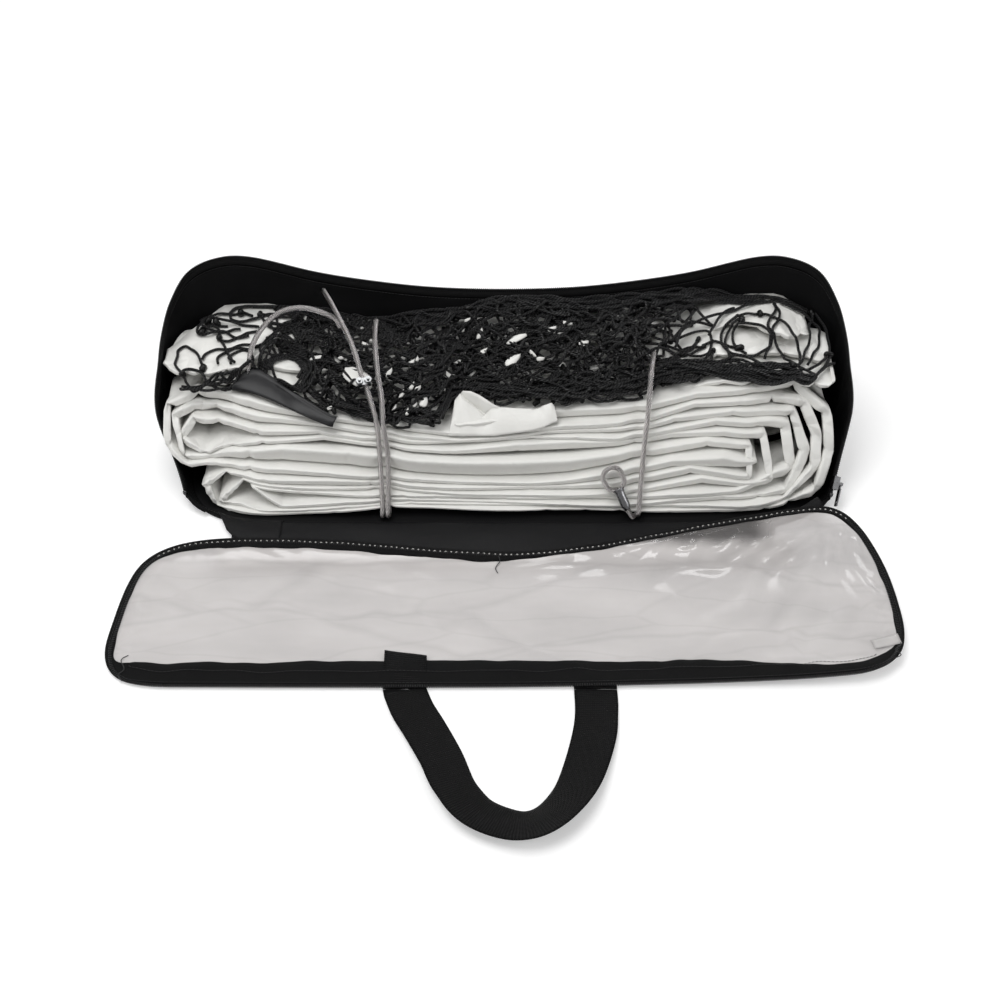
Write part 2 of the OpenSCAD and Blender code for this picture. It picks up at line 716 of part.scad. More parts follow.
module panel_middle() {
    color("#232427")
        translate([-panel_width / 2, hinge_y + slack, panel_level])
            cube([panel_width, fold_depth - 2 * slack, panel_thick]);
}

module panel_upper() {
    color("#232427")
        translate([-panel_width / 2, hinge_y + hinge_end, 2 * panel_level])
            cube([panel_width, fold_depth - slack - hinge_end, panel_thick]);
}

// ================= lid =================
module lid_window() {
    color([0.86, 0.85, 0.84, 0.55])
        translate([0, 0, film_bottom])
            linear_extrude(film)
                difference() {
                    polygon(lid_outline(edge_in));
                    lid_slice(lid_front_y - 1, band_y);
                    lid_slice(hinge_y - hinge_binding, hinge_y + 1);
                }
}

module lid_front_band() {
    color("#161719")
        translate([0, 0, lid_top - trim])
            linear_extrude(trim)
                intersection() {
                    polygon(lid_outline(tape_in));
                    lid_slice(lid_front_y - 1, band_y);
                }
}

module lid_side_binding() {
    color("#121314")
        linear_extrude(lid_top)
            difference() {
                lid_ring(tape_in, edge_in);
                lid_slice(lid_front_y - 1, band_y);
                translate([-panel_width / 2 - slack, hinge_y - edge_in - 1])
                    square([panel_width + 2 * slack, edge_in + 2]);
            }
}

module lid_hinge_binding() {
    color("#161719")
        translate([-panel_width / 2, hinge_y - hinge_binding, film_bottom])
            cube([panel_width, hinge_binding - hinge_clear, trim]);
}

module lid_zip_tape() {
    color("#101112")
        translate([0, 0, teeth_bottom + (chain_thick - zip_tape_thick) / 2])
            linear_extrude(zip_tape_thick)
                difference() {
                    lid_ring(teeth_in, tape_in);
                    lid_slice(hinge_y - lid_rear_corner / 2, hinge_y + 1);
                }
}

module lid_zip_chain() {
    color("#0b0b0c")
        translate([0, 0, teeth_bottom])
            linear_extrude(chain_thick)
                difference() {
                    lid_ring(0, teeth_in);
                    lid_slice(hinge_y - lid_rear_corner / 2, hinge_y + 1);
                }
}

// ================= handle =================
// Middle line of the webbing, from the lid's front edge: along X, forward along Y
// and the tilt that lifts its outer edge
strap_route = [[-88, 0, 0], [-80, -24, 2], [-68, -48, 4], [-54, -76, 7], [-41, -108, 10],
               [-22, -134, 13], [3, -148, 15], [24, -150, 20], [44, -140, 23],
               [61, -118, 20], [71, -90, 12], [79, -55, 5], [81, -25, 2], [80, 0, 0]];
strap_ends = [-88, 80];

module handle_ends() {
    color("#131415")
        for (i = [0, 1]) {
            show = i == 0 ? tab_show : 0;
            translate([strap_ends[i] - webbing / 2, lid_front_y, 0])
                cube([webbing, tape_in + band_depth + show, webbing_thick]);
        }
}

module handle_strap() {
    line = spline([for (p = strap_route) [p.x, p.y, p.z]], 3);
    last = len(line) - 1;
    rings = [for (i = [0:last])
        let (a = line[max(i - 1, 0)], b = line[min(i + 1, last)],
             t = (i == 0 || i == last) ? [0, i == 0 ? -1 : 1, 0]
                                       : unit([b.x - a.x, b.y - a.y, 0]),
             outward = cross(t, [0, 0, 1]),
             tilt = max(0, line[i].z),
             across = webbing / 2 * (cos(tilt) * outward + [0, 0, sin(tilt)]),
             up = webbing_thick * unit(cross(across, t)),
             c = [line[i].x, lid_front_y - fold_gap + line[i].y, webbing / 2 * sin(tilt)])
        [c - across + up, c + across + up, c + across, c - across]];
    color("#17181a")
        skin(rings);
}

// ================= slider and pull =================
module zip_slider() {
    low = -chain_width - slider_gap - 1.2;
    high = slider_gap + slider_wall;
    color("#c6c7c9")
        in_slider_frame() {
            difference() {
                translate([-slider_length / 2, low, -slider_half])
                    cube([slider_length, high - low, 2 * slider_half]);
                translate([-slider_length, low - 1, slider_wall - slider_half])
                    cube([2 * slider_length, slider_gap - low + 1,
                          2 * (slider_half - slider_wall)]);
            }
            for (s = [-1, 1])
                translate([-1.4, s * 2.6 - 0.7 - 1.4, slider_half])
                    cube([2.8, 1.4, bail_lift - slider_half + 1.3]);
            translate([0, -1.4, bail_lift])
                rotate([90, 0, 0])
                    cylinder(h = 4, r = bail_bar, center = true);
        }
}

module zip_pull() {
    eye = bail_bar + 0.3;
    color("#b5b6b8")
        in_slider_frame()
            translate([0, -1.4, bail_lift])
                difference() {
                    union() {
                        rotate([90, 0, 0])
                            cylinder(h = 3.2, r = eye + 0.9, center = true);
                        translate([-pull_length, -pull_width / 2, -pull_thick / 2])
                            cube([pull_length - 4.5, pull_width, pull_thick]);
                        translate([-5, -1.6, -pull_thick / 2])
                            cube([4.2, 3.2, pull_thick]);
                    }
                    rotate([90, 0, 0])
                        cylinder(h = 8, r = eye, center = true);
                    translate([-pull_length + 4, 0, -2])
                        cylinder(h = 4, r = 1.6);
                }
}

bag_floor();
floor_piping();
bag_wall();
wall_zip_tape();
wall_zip_chain();
zip_stops();
head_tape();
foot_tape();
net_mesh();
side_strip();
cable_arc();
cable_tie_front();
cable_tie_rear();
cable_right();
cable_eye();
eye_ferrule();
clip_saddle();
clip_ubolt();
clip_nuts();
panel_lower();
panel_middle();
panel_upper();
lid_window();
lid_front_band();
lid_side_binding();
lid_hinge_binding();
lid_zip_tape();
lid_zip_chain();
handle_ends();
handle_strap();
zip_slider();
zip_pull();
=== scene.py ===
# %% [markdown]
# # A volleyball net in its open carry bag
#
# The bag lies open on a floor. Its clear lid is folded forward, the net lies folded and
# tied in the bag, and the carry handle lies in front of the lid. Everything that shows
# here is soft: coated fabric, clear film, woven tape, knotted twine and coated cable.
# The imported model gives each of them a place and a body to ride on. The cells below
# make each soft piece at that place, one after another.

import math

import bpy
import numpy as np
from mathutils import Matrix, Vector
from mathutils.kdtree import KDTree


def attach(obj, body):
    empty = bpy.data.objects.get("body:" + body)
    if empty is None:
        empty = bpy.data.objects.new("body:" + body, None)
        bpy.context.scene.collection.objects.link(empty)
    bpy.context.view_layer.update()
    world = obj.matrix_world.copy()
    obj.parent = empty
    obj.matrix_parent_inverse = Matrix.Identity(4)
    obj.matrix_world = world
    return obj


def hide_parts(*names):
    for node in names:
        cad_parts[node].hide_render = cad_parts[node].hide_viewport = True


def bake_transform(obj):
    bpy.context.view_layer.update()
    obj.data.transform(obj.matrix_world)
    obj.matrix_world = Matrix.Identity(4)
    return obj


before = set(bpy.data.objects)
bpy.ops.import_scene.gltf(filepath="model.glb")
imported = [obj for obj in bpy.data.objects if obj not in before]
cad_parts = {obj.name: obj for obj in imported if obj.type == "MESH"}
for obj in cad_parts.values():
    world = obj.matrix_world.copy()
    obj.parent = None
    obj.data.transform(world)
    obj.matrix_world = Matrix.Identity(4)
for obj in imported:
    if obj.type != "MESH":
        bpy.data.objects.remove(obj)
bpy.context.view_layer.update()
MM = 0.001

# %% [markdown]
# ## Camera
#
# The camera stands in front of the bag and looks down at 45 degrees, so that the floor
# and the bag's back wall are seen equally steeply. A long lens keeps the bag's two ends
# the same size. The frame is square.

# %% Camera
camera_data = bpy.data.cameras.new("camera")
camera_data.sensor_width = 36.0
camera_data.lens = 57.6
camera_data.clip_end = 20.0
camera = bpy.data.objects.new("camera", camera_data)
bpy.context.scene.collection.objects.link(camera)
camera.location = (-0.0039, -1.1646, 1.1121)
camera.rotation_euler = (math.radians(45), 0, 0)
bpy.context.scene.camera = camera
print("camera", tuple(round(v, 3) for v in camera.location))

# %% [markdown]
# ## Small helpers for soft pieces
#
# Soft pieces are made from rows of points. A strip, a sheet and a tube are all the same
# thing: rings of points, one after another, with faces between them. One helper makes
# the mesh and writes a UV map in metres, so that a weave or a twist can follow the
# piece. The wrinkles come from a sum of sine waves in seeded directions, which is
# smooth, cheap and the same on every run.

# %% Rings of points to a mesh
def unit(v):
    v = np.asarray(v, float)
    return v / np.maximum(np.linalg.norm(v, axis=-1, keepdims=True), 1e-12)


def smooth(t):
    t = np.clip(t, 0, 1)
    return t * t * (3 - 2 * t)


def bell(x, middle, width):
    return np.exp(-(((x - middle) / width) ** 2))


def run_length(line):
    return np.concatenate([[0], np.cumsum(np.linalg.norm(np.diff(line, axis=0), axis=1))])


def at_lengths(s, lengths, line):
    """The points of a line at the lengths s, when its own points lie at lengths."""
    return np.stack([np.interp(s, lengths, column) for column in line.T], axis=-1)


def blurred(values, window, mode="edge"):
    """Moving average. The values go on as at their ends, or wrap round."""
    padded = np.pad(values, len(window) // 2, mode=mode)
    return np.convolve(padded, window / window.sum(), mode="valid")


def new_piece(name, points, faces, uv=None):
    """A mesh object. Without a UV map of its own, all its corners lie at 0, 0."""
    mesh = bpy.data.meshes.new(name)
    mesh.from_pydata([tuple(p) for p in points], [], faces)
    corner = np.zeros((sum(map(len, faces)), 2), dtype=np.float32) if uv is None else \
        np.array([c for f in uv for c in f], dtype=np.float32)
    mesh.uv_layers.new(name="UVMap").data.foreach_set("uv", corner.ravel())
    mesh.polygons.foreach_set("use_smooth", [True] * len(mesh.polygons))
    mesh.validate()
    mesh.update()
    piece = bpy.data.objects.new(name, mesh)
    bpy.context.scene.collection.objects.link(piece)
    return piece


def tube_faces(rings, around, base=0, last=None):
    """The four corners of each face between one ring of points and the next."""
    for i in range(rings - 1):
        for j in range(last or around):
            a, b = base + i * around, base + (i + 1) * around
            k = (j + 1) % around
            yield a + j, a + k, b + k, b + j


def ring_mesh(name, rings, closed=True, caps=True):
    """rings is n rows of m points in millimetres, one row per ring along the piece."""
    rings = np.asarray(rings, float) * MM
    n, m = rings.shape[:2]
    along = run_length(rings.mean(axis=1))
    width = np.concatenate([rings, rings[:, :1]], axis=1) if closed else rings
    across = np.cumsum(np.linalg.norm(np.diff(width, axis=1), axis=2).mean(axis=0))
    across = np.concatenate([[0], across])
    last = m if closed else m - 1
    faces = list(tube_faces(n, m, last=last))
    uv = [[(across[j], along[i]), (across[j + 1], along[i]), (across[j + 1], along[i + 1]),
           (across[j], along[i + 1])] for i in range(n - 1) for j in range(last)]
    if closed and caps:
        faces += [tuple(range(m - 1, -1, -1)), tuple(range((n - 1) * m, n * m))]
        uv += [[(0, 0)] * m] * 2
    return new_piece(name, rings.reshape(-1, 3), faces, uv)


def only(piece):
    """Makes one object the only one selected, for Blender's own operators."""
    bpy.ops.object.select_all(action="DESELECT")
    piece.select_set(True)
    bpy.context.view_layer.objects.active = piece


def face_outward(piece):
    only(piece)
    bpy.ops.object.mode_set(mode="EDIT")
    bpy.ops.mesh.select_all(action="SELECT")
    bpy.ops.mesh.normals_make_consistent(inside=False)
    bpy.ops.object.mode_set(mode="OBJECT")
    piece.select_set(False)


def dress(piece, finish, slot_name, body, *nodes):
    """Faces the piece outward and gives it its finish, body and solids. The slot name is
    not used.
    A body is a name, or two bodies' names and where the change between them lies; with two,
    the piece rides on neither and stays fixed in place."""
    face_outward(piece)
    piece.data.materials.append(finish)
    if isinstance(body, str):
        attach(piece, body)
    else:
        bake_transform(piece)
    if nodes:
        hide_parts(*nodes)
    return piece


def mesh_numbers(piece, name, values):
    """Writes one number for each point of the mesh, for its finish to read."""
    numbers = piece.data.attributes.new(name, "FLOAT", "POINT")
    numbers.data.foreach_set("value", np.ravel(values).astype(np.float32))


def repaint(finish, *nodes):
    """Gives solids that show as they are one of the finishes made here."""
    for node in nodes:
        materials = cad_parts[node].data.materials
        materials.clear()
        materials.append(finish)


def ripple(points, size, seed, waves=7):
    """Smooth seeded noise, about -1 to 1, whose waves are about size long."""
    rng = np.random.default_rng(seed)
    points = np.asarray(points, float)
    total = np.zeros(points.shape[:-1])
    for _ in range(waves):
        direction = unit(rng.normal(size=points.shape[-1]))
        length = size * rng.uniform(0.7, 1.5)
        total += np.sin(2 * np.pi * points @ direction / length + rng.uniform(0, 2 * np.pi))
    return total / math.sqrt(waves)


def hermite(a, b, slope_a, slope_b, t):
    """The point at share t of a smooth curve from a to b with the given end slopes."""
    return ((2 * t**3 - 3 * t**2 + 1) * a + (t**3 - 2 * t**2 + t) * slope_a
            + (3 * t**2 - 2 * t**3) * b + (t**3 - t**2) * slope_b)


def spline(keys, steps):
    """Smooth line through given points."""
    keys = np.asarray(keys, float)
    last = len(keys) - 1
    slope = np.array([(keys[min(i + 1, last)] - keys[max(i - 1, 0)]) / 2
                      for i in range(last + 1)])
    line = [hermite(keys[i], keys[i + 1], slope[i], slope[i + 1], s / steps)
            for i in range(last) for s in range(steps)]
    return np.array(line + [keys[-1]])


def heading(degrees):
    """Direction in the ground plane, and the one square to it."""
    c, s = math.cos(math.radians(degrees)), math.sin(math.radians(degrees))
    return np.array([c, s]), np.array([-s, c])


def tangents(line):
    """Direction from each point's neighbour before it to the one after it."""
    return unit(np.vstack([line[1:2] - line[:1], line[2:] - line[:-2],
                           line[-1:] - line[-2:-1]]))


def turning_frames(line):
    """Side and up at each point of a line, without any twist between them."""
    tangent = tangents(line)
    start = (1, 0, 0) if abs(tangent[0][0]) < 0.9 else (0, 1, 0)
    side = np.empty_like(line)
    side[0] = unit(np.cross(start, tangent[0]))
    for i in range(1, len(line)):
        side[i] = unit(side[i - 1] - tangent[i] * (side[i - 1] @ tangent[i]))
    return side, np.cross(tangent, side)


def tube_rings(line, radius, sides):
    side, up = turning_frames(line)
    angle = np.arange(sides) * 2 * np.pi / sides
    radius = np.broadcast_to(radius, (len(line),))[:, None, None]
    return line[:, None] + radius * (np.cos(angle)[None, :, None] * side[:, None]
                                     + np.sin(angle)[None, :, None] * up[:, None])


print("helpers ready")

# %% [markdown]
# ## Finishes
#
# Four effects are used by several finishes, so each is a node group: a soft cloudy
# change of tone, a fine weave, slanted strands for twine and steel cable, and soft
# creases. The groups give only values, and each finish keeps its own Principled shader.
# One helper adds a node and feeds each of its inputs with a number or a wire.

# %% Helpers for nodes
def feed(tree, socket, value):
    """Sets a socket to a plain value, or wires another node's output to it."""
    if isinstance(value, bpy.types.NodeSocket):
        tree.links.new(value, socket)
    else:
        socket.default_value = value


def add_node(tree, kind, settings=(), **inputs):
    """Adds one node, feeds its inputs by name and gives its outputs."""
    node = tree.nodes.new("ShaderNode" + kind)
    for key, value in settings:
        setattr(node, key, value)
    for key, value in inputs.items():
        feed(tree, node.inputs[key.replace("_", " ")], value)
    return node.outputs


def math_node(tree, operation, *values):
    node = tree.nodes.new("ShaderNodeMath")
    node.operation = operation
    for socket, value in zip(node.inputs, values):
        feed(tree, socket, value)
    return node.outputs[0]


def chained(tree, operation, first, *others):
    """The same operation on one value after another."""
    for other in others:
        first = math_node(tree, operation, first, other)
    return first


def warped_cells(tree, place, noise_scale, noise_detail, amount, mapping, scale):
    """Distance to the nearest edge of cells whose edges are bent by a soft noise."""
    bend = add_node(tree, "TexNoise", Vector=place, Scale=noise_scale, Detail=noise_detail)
    warp = tree.nodes.new("ShaderNodeVectorMath")
    warp.operation = "MULTIPLY_ADD"
    for socket, value in zip(warp.inputs, (bend["Color"], amount, place)):
        feed(tree, socket, value)
    where = warp.outputs[0]
    if mapping:
        where = add_node(tree, "Mapping", Vector=where, **mapping)[0]
    return add_node(tree, "TexVoronoi", [("feature", "DISTANCE_TO_EDGE")], Vector=where,
                    Scale=scale)["Distance"]


# %% Node groups for the shared effects
def start_group(name, output, **inputs):
    """A group with plain numbers in and one number out. Gives it with both its ends."""
    group = bpy.data.node_groups.new(name, "ShaderNodeTree")
    for label, value in inputs.items():
        socket = group.interface.new_socket(label, in_out="INPUT",
                                            socket_type="NodeSocketFloat")
        socket.default_value = value
    group.interface.new_socket(output, in_out="OUTPUT", socket_type="NodeSocketFloat")
    given = group.nodes.new("NodeGroupInput").outputs
    return group, given, group.nodes.new("NodeGroupOutput").inputs[output]


def uv_parts(tree):
    """The two lengths of the UV map, across the piece and along it."""
    parts = add_node(tree, "SeparateXYZ", Vector=add_node(tree, "UVMap")["UV"])
    return parts["X"], parts["Y"]


# Cloudy tone: a value round 1 that darkens and lightens a colour in soft patches
cloudy, given, result = start_group("cloudy_tone", "Tone", Size=12.0, Amount=0.1)
cloud = add_node(cloudy, "TexNoise", Vector=add_node(cloudy, "TexCoord")["Object"],
                 Scale=given["Size"], Detail=4.0, Roughness=0.6)["Fac"]
centred = math_node(cloudy, "SUBTRACT", cloud, 0.5)
feed(cloudy, result, math_node(cloudy, "ADD", math_node(
    cloudy, "MULTIPLY", centred, given["Amount"]), 1.0))

# Weave: threads along both directions of the UV map, Pitch in metres
weave, given, result = start_group("fine_weave", "Height", Pitch=0.0006)
per_metre = math_node(weave, "DIVIDE", 2 * math.pi, given["Pitch"])
threads = [math_node(weave, "SINE", math_node(weave, "MULTIPLY", part, per_metre))
           for part in uv_parts(weave)]
feed(weave, result, math_node(weave, "MULTIPLY", *threads))

# Strands: slanted grooves of a twisted twine or a wire rope. Around is the distance
# round the cord, Lay the length of one full turn, Count the number of strands.
strands, given, result = start_group("twisted_strands", "Height", Around=0.009, Lay=0.01,
                                     Count=3.0)
turns = [math_node(strands, "MULTIPLY", math_node(strands, "DIVIDE", part, given[per]),
                   given["Count"])
         for part, per in zip(uv_parts(strands), ("Around", "Lay"))]
phase = math_node(strands, "MULTIPLY", math_node(strands, "ADD", *turns), math.pi)
feed(strands, result, math_node(strands, "ABSOLUTE", math_node(strands, "SINE", phase)))

# Creases: the dark lines and soft dents of folded sheet, Size in waves per metre
creases, given, result = start_group("soft_creases", "Height", Size=30.0, Bend=1.0)
bend = math_node(creases, "MULTIPLY", given["Bend"], 0.02)
cells = warped_cells(creases, add_node(creases, "TexCoord")["Object"], 14.0, 2.0,
                     add_node(creases, "CombineXYZ", X=bend, Y=bend, Z=bend)[0], None,
                     given["Size"])
feed(creases, result, math_node(creases, "MINIMUM", cells, 0.35))
print("node groups:", ", ".join(g.name for g in bpy.data.node_groups))

# %% [markdown]
# Each finish is a Principled shader with its plain numbers set on its own sockets. Its
# colour is multiplied by cloudy tones, and one bump after another shapes its surface.
# Most finishes need no more than that, so one helper makes them from a short list.

# %% Helpers for finishes
def start_finish(name, color, roughness, **more):
    material = bpy.data.materials.new(name)
    material.use_nodes = True
    tree = material.node_tree
    shader = tree.nodes["Principled BSDF"]
    shader.inputs["Base Color"].default_value = (*color, 1.0)
    shader.inputs["Roughness"].default_value = roughness
    for key, value in more.items():
        shader.inputs[key.replace("_", " ")].default_value = value
    return material, tree, shader


def use_group(tree, group, **values):
    node = tree.nodes.new("ShaderNodeGroup")
    node.node_tree = group
    for key, value in values.items():
        node.inputs[key].default_value = value
    return node.outputs[0]


def clouds(tree, *sizes_and_amounts):
    return [use_group(tree, cloudy, Size=size, Amount=amount)
            for size, amount in sizes_and_amounts]


def tint(tree, shader, color, *tones):
    """Base colour times one or more tones."""
    scaled = add_node(tree, "VectorMath", [("operation", "SCALE")], Vector=color,
                      Scale=chained(tree, "MULTIPLY", *tones))
    tree.links.new(scaled[0], shader.inputs["Base Color"])


def bump(tree, shader, *layers):
    """One bump after another, each a height, its depth in metres and its strength."""
    before = {}
    for height, distance, strength in layers:
        before["Normal"] = add_node(tree, "Bump", Height=height, Distance=distance,
                                    Strength=strength, **before)["Normal"]
    tree.links.new(before["Normal"], shader.inputs["Normal"])


def between(tree, value, low, high):
    """Rescales a 0 to 1 value to low to high."""
    return math_node(tree, "ADD", math_node(tree, "MULTIPLY", value, high - low), low)


def noise_tone(tree, scale, detail=3.0, stretch=(1, 1, 1)):
    place = add_node(tree, "Mapping", Vector=add_node(tree, "TexCoord")["Object"],
                     Scale=stretch)[0]
    return add_node(tree, "TexNoise", Vector=place, Scale=scale, Detail=detail)["Fac"]


def woven(tree, pitch):
    return use_group(tree, weave, Pitch=pitch)


def mesh_value(tree, name):
    """A number that the mesh carries at each of its points."""
    return add_node(tree, "Attribute", [("attribute_name", name)])["Fac"]


def plain_finish(name, color, roughness, tones, layers, **more):
    """tones holds (size, amount). layers holds (effect, its numbers, depth, strength)."""
    material, tree, shader = start_finish(name, color, roughness, **more)
    tint(tree, shader, color, *clouds(tree, *tones))
    bump(tree, shader, *((effect(tree, *numbers), depth, strength)
                         for effect, numbers, depth, strength in layers))
    return material


# %% [markdown]
# The plain finishes: the bag's coated fabric, the front panel's vinyl, the net's side
# strip, woven trim, thread, coil teeth and the milky offcut that the tab is cut from.
# The blacks differ only a little in colour, and more in how rough and how woven they are.

# %% The plain finishes
bag_fabric = plain_finish(
    "bag_fabric", (0.0022, 0.0022, 0.0025), 0.55, [(6.0, 0.5)],
    [(noise_tone, (9.0, 2.0), 0.006, 0.35), (woven, (0.0011,), 0.00012, 0.5)],
    Sheen_Weight=0.01, Sheen_Roughness=0.5, Specular_IOR_Level=0.11)
gusset_fabric = plain_finish(
    "gusset_fabric", (0.0055, 0.0055, 0.0062), 0.45, [(7.0, 0.4)],
    [(noise_tone, (11.0, 2.0, (1, 2, 1)), 0.006, 0.4), (woven, (0.0012,), 0.00012, 0.4)],
    Specular_IOR_Level=0.16)
charcoal_vinyl = plain_finish(
    "charcoal_vinyl", (0.0045, 0.0045, 0.0055), 0.4, [(20.0, 0.3)],
    [(noise_tone, (45.0, 2.0), 0.0012, 0.4)], Specular_IOR_Level=0.35)
black_trim = plain_finish(
    "black_trim", (0.0032, 0.0032, 0.0035), 0.62, [(30.0, 0.4)],
    [(woven, (0.0009,), 0.00025, 0.8)], Sheen_Weight=0.015, Specular_IOR_Level=0.14)
# White thread makes the lid's rear stitches, whose white dots also stand in for glints of
# the zip's teeth: painted highlights.
white_thread, black_thread = (
    plain_finish(name, color, roughness, [(300.0, patches)],
                 [(noise_tone, (900.0, 2.0), 0.0003, 0.5)])
    for name, color, roughness, patches in (
        ("white_thread", (0.62, 0.61, 0.59), 0.6, 0.4),
        ("black_thread", (0.02, 0.02, 0.021), 0.45, 0.5)))
zip_teeth = plain_finish(
    "zip_teeth", (0.007, 0.007, 0.0075), 0.3, [(80.0, 0.4)],
    [(noise_tone, (600.0, 2.0), 0.0002, 0.3)], Specular_IOR_Level=0.3)
tab_film = plain_finish(
    "tab_film", (0.62, 0.6, 0.59), 0.2, [(60.0, 0.3)],
    [(noise_tone, (120.0, 2.0), 0.001, 0.4)], Alpha=0.75)

# %% [markdown]
# The white tape is satin vinyl. Its creases are deepest where the mesh says that the
# tape is crumpled, with shallower ones and a faint grain all over.

# %% White coated tape
WHITE = (0.76, 0.755, 0.725)
white_vinyl, tree, shader = start_finish("white_vinyl", WHITE, 0.42, Coat_Weight=0.12,
                                         Coat_Roughness=0.35)
tint(tree, shader, WHITE, *clouds(tree, (9.0, 0.16), (60.0, 0.07)))
facets = math_node(tree, "MULTIPLY", use_group(tree, creases, Size=34.0, Bend=1.0),
                   between(tree, mesh_value(tree, "crumple"), 0.15, 1.0))
bump(tree, shader, (facets, 0.0075, 0.9),
     (use_group(tree, creases, Size=15.0, Bend=1.4), 0.0012, 0.4),
     (noise_tone(tree, 55.0, 2.0, (1, 2.2, 2.2)), 0.0012, 0.4),
     (noise_tone(tree, 1500.0, 1.0), 0.00006, 0.5))

# %% [markdown]
# Webbing has coarse ribs across the strap, broken by its lengthwise threads. The twine
# and the steel rope are wound from strands, three and six of them, and only the lay and
# the shine differ. The rope's clear coat is a thin glassy skin.

# %% Webbing, twine and cable
WEB = (0.0022, 0.0022, 0.0024)
RIB_PITCH, THREAD_PITCH = 0.0021, 0.0016
webbing, tree, shader = start_finish("webbing", WEB, 0.5, Sheen_Weight=0.01,
                                     Specular_IOR_Level=0.13)
thread, rib = (math_node(tree, "ABSOLUTE", math_node(tree, "SINE", math_node(
    tree, "MULTIPLY", part, math.pi / pitch)))
    for part, pitch in zip(uv_parts(tree), (THREAD_PITCH, RIB_PITCH)))
# The colour follows the ribs: painted shade in the grooves between them and painted light
# on the ribs.
tint(tree, shader, WEB, *clouds(tree, (30.0, 0.5)), between(tree, rib, 0.55, 1.45))
bump(tree, shader, (math_node(tree, "ADD", rib, math_node(tree, "MULTIPLY", thread, 0.35)),
                    0.0006, 0.9))


def stranded_finish(name, color, roughness, lay, count, tones, patches, depth, strength,
                    **more):
    """A cord's finish: its strands set the bump, and the colour is painted darker in their
    grooves and lighter on them, as painted shade and painted highlight.
    """
    material, tree, shader = start_finish(name, color, roughness, **more)
    twist = use_group(tree, strands, Around=0.0094, Lay=lay, Count=count)
    tint(tree, shader, color, between(tree, twist, *tones), *clouds(tree, patches))
    bump(tree, shader, (twist, depth, strength))
    return material


# After the lay and the strand count: how dark the grooves and how light the strands are
# painted, as shares of the colour (painted shade and painted highlight).
net_twine = stranded_finish("net_twine", (0.010, 0.010, 0.0104), 0.32, 0.0105, 3.0,
                            (0.0, 2.2), (25.0, 0.6), 0.0016, 1.0, Specular_IOR_Level=0.28)
cable_core = stranded_finish("cable_core", (0.46, 0.45, 0.445), 0.3, 0.021, 6.0,
                             (0.25, 1.35), (50.0, 0.3), 0.0009, 0.9, Metallic=0.85)
cable_coat, tree, shader = start_finish("cable_coat", (0.93, 0.9, 0.9), 0.09, IOR=1.4,
                                        Transmission_Weight=1.0)
bump(tree, shader, (noise_tone(tree, 160.0, 2.0), 0.0006, 0.35))


# %% Metals: cast zinc, crimped aluminium and nickel, each with its own grain
def metal_finish(name, color, roughness, grain, depth):
    material, tree, shader = start_finish(name, color, roughness, Metallic=1.0)
    tint(tree, shader, color, *clouds(tree, (90.0, 0.35), (400.0, 0.2)))
    tree.links.new(between(tree, noise_tone(tree, 260.0, 3.0), roughness * 0.6,
                           roughness * 1.5), shader.inputs["Roughness"])
    bump(tree, shader, (noise_tone(tree, grain, 3.0), depth, 0.5))
    return material


zinc = metal_finish("zinc", (0.3, 0.305, 0.31), 0.24, 300.0, 0.00012)
crimp_metal = metal_finish("crimp_metal", (0.26, 0.26, 0.27), 0.24, 240.0, 0.0007)
zip_metal = metal_finish("zip_metal", (0.09, 0.09, 0.093), 0.26, 500.0, 0.0002)

# %% [markdown]
# The lid's film is a warm-grey glossy sheet with the long fine creases of packed vinyl. Its
# opacity, a number that the mesh carries, is painted shade: the film is clearest over the
# front panel along its rear edge, so that the dark panel shows, and most opaque in a band
# just in front of the panel's edge, a soft painted shadow there. It shines most where the
# mesh's gloss value is high.

# %% Clear film
FILM = (0.60, 0.572, 0.562)
clear_film, tree, shader = start_finish("clear_film", FILM, 0.13, Coat_Weight=0.6,
                                        Coat_Roughness=0.05, IOR=1.5)
shine = mesh_value(tree, "gloss")
# The alpha that the mesh carries paints a soft shadow at the front panel's edge; its gloss
# sets the coat and the specular level.
for value, label in ((mesh_value(tree, "painted_shade_alpha"), "Alpha"), (shine, "Coat Weight"),
                     (math_node(tree, "MULTIPLY", shine, 0.5), "Specular IOR Level")):
    tree.links.new(value, shader.inputs[label])
crease_lines, fine_lines = (
    warped_cells(tree, add_node(tree, "TexCoord")["Object"], 9.0, 2.0, (0.05, 0.03, 0),
                 {"Rotation": (0, 0, turn), "Scale": (0.22, 1.0, 1.0)}, scale)
    for turn, scale in ((0.62, 15.0), (-0.35, 27.0)))
# The colour has soft lighter and darker bands, and it is painted darker along the crease
# lines, as painted shade of the creases.
tint(tree, shader, FILM,
     between(tree, noise_tone(tree, 9.0, 3.0, (0.9, 2.6, 1)), 0.76, 1.26),
     between(tree, math_node(tree, "MINIMUM", crease_lines, 0.05), 0.9, 2.9),
     between(tree, math_node(tree, "MINIMUM", fine_lines, 0.04), 0.94, 2.4))
bump(tree, shader, (crease_lines, 0.0016, 0.4),
     (noise_tone(tree, 26.0, 2.0, (0.5, 1.6, 1)), 0.0005, 0.4))
print("finishes:", len(bpy.data.materials))

# %% [markdown]
# ## The coated steel cable
#
# The net's head cable is a twisted steel rope in a clear vinyl coat, 4.5 mm over the
# coat. It comes out of the tape's hem, ties the folded net in three places and ends in
# a crimped eye. Only the stretches outside the hem are made. Each is a tube for the
# coat with a thinner tube inside it for the rope, along the same line as the solid
# that it replaces. A curve with a bevel would do for the coat, but a mesh tube carries
# a UV map, and the rope's strands are wound with it.

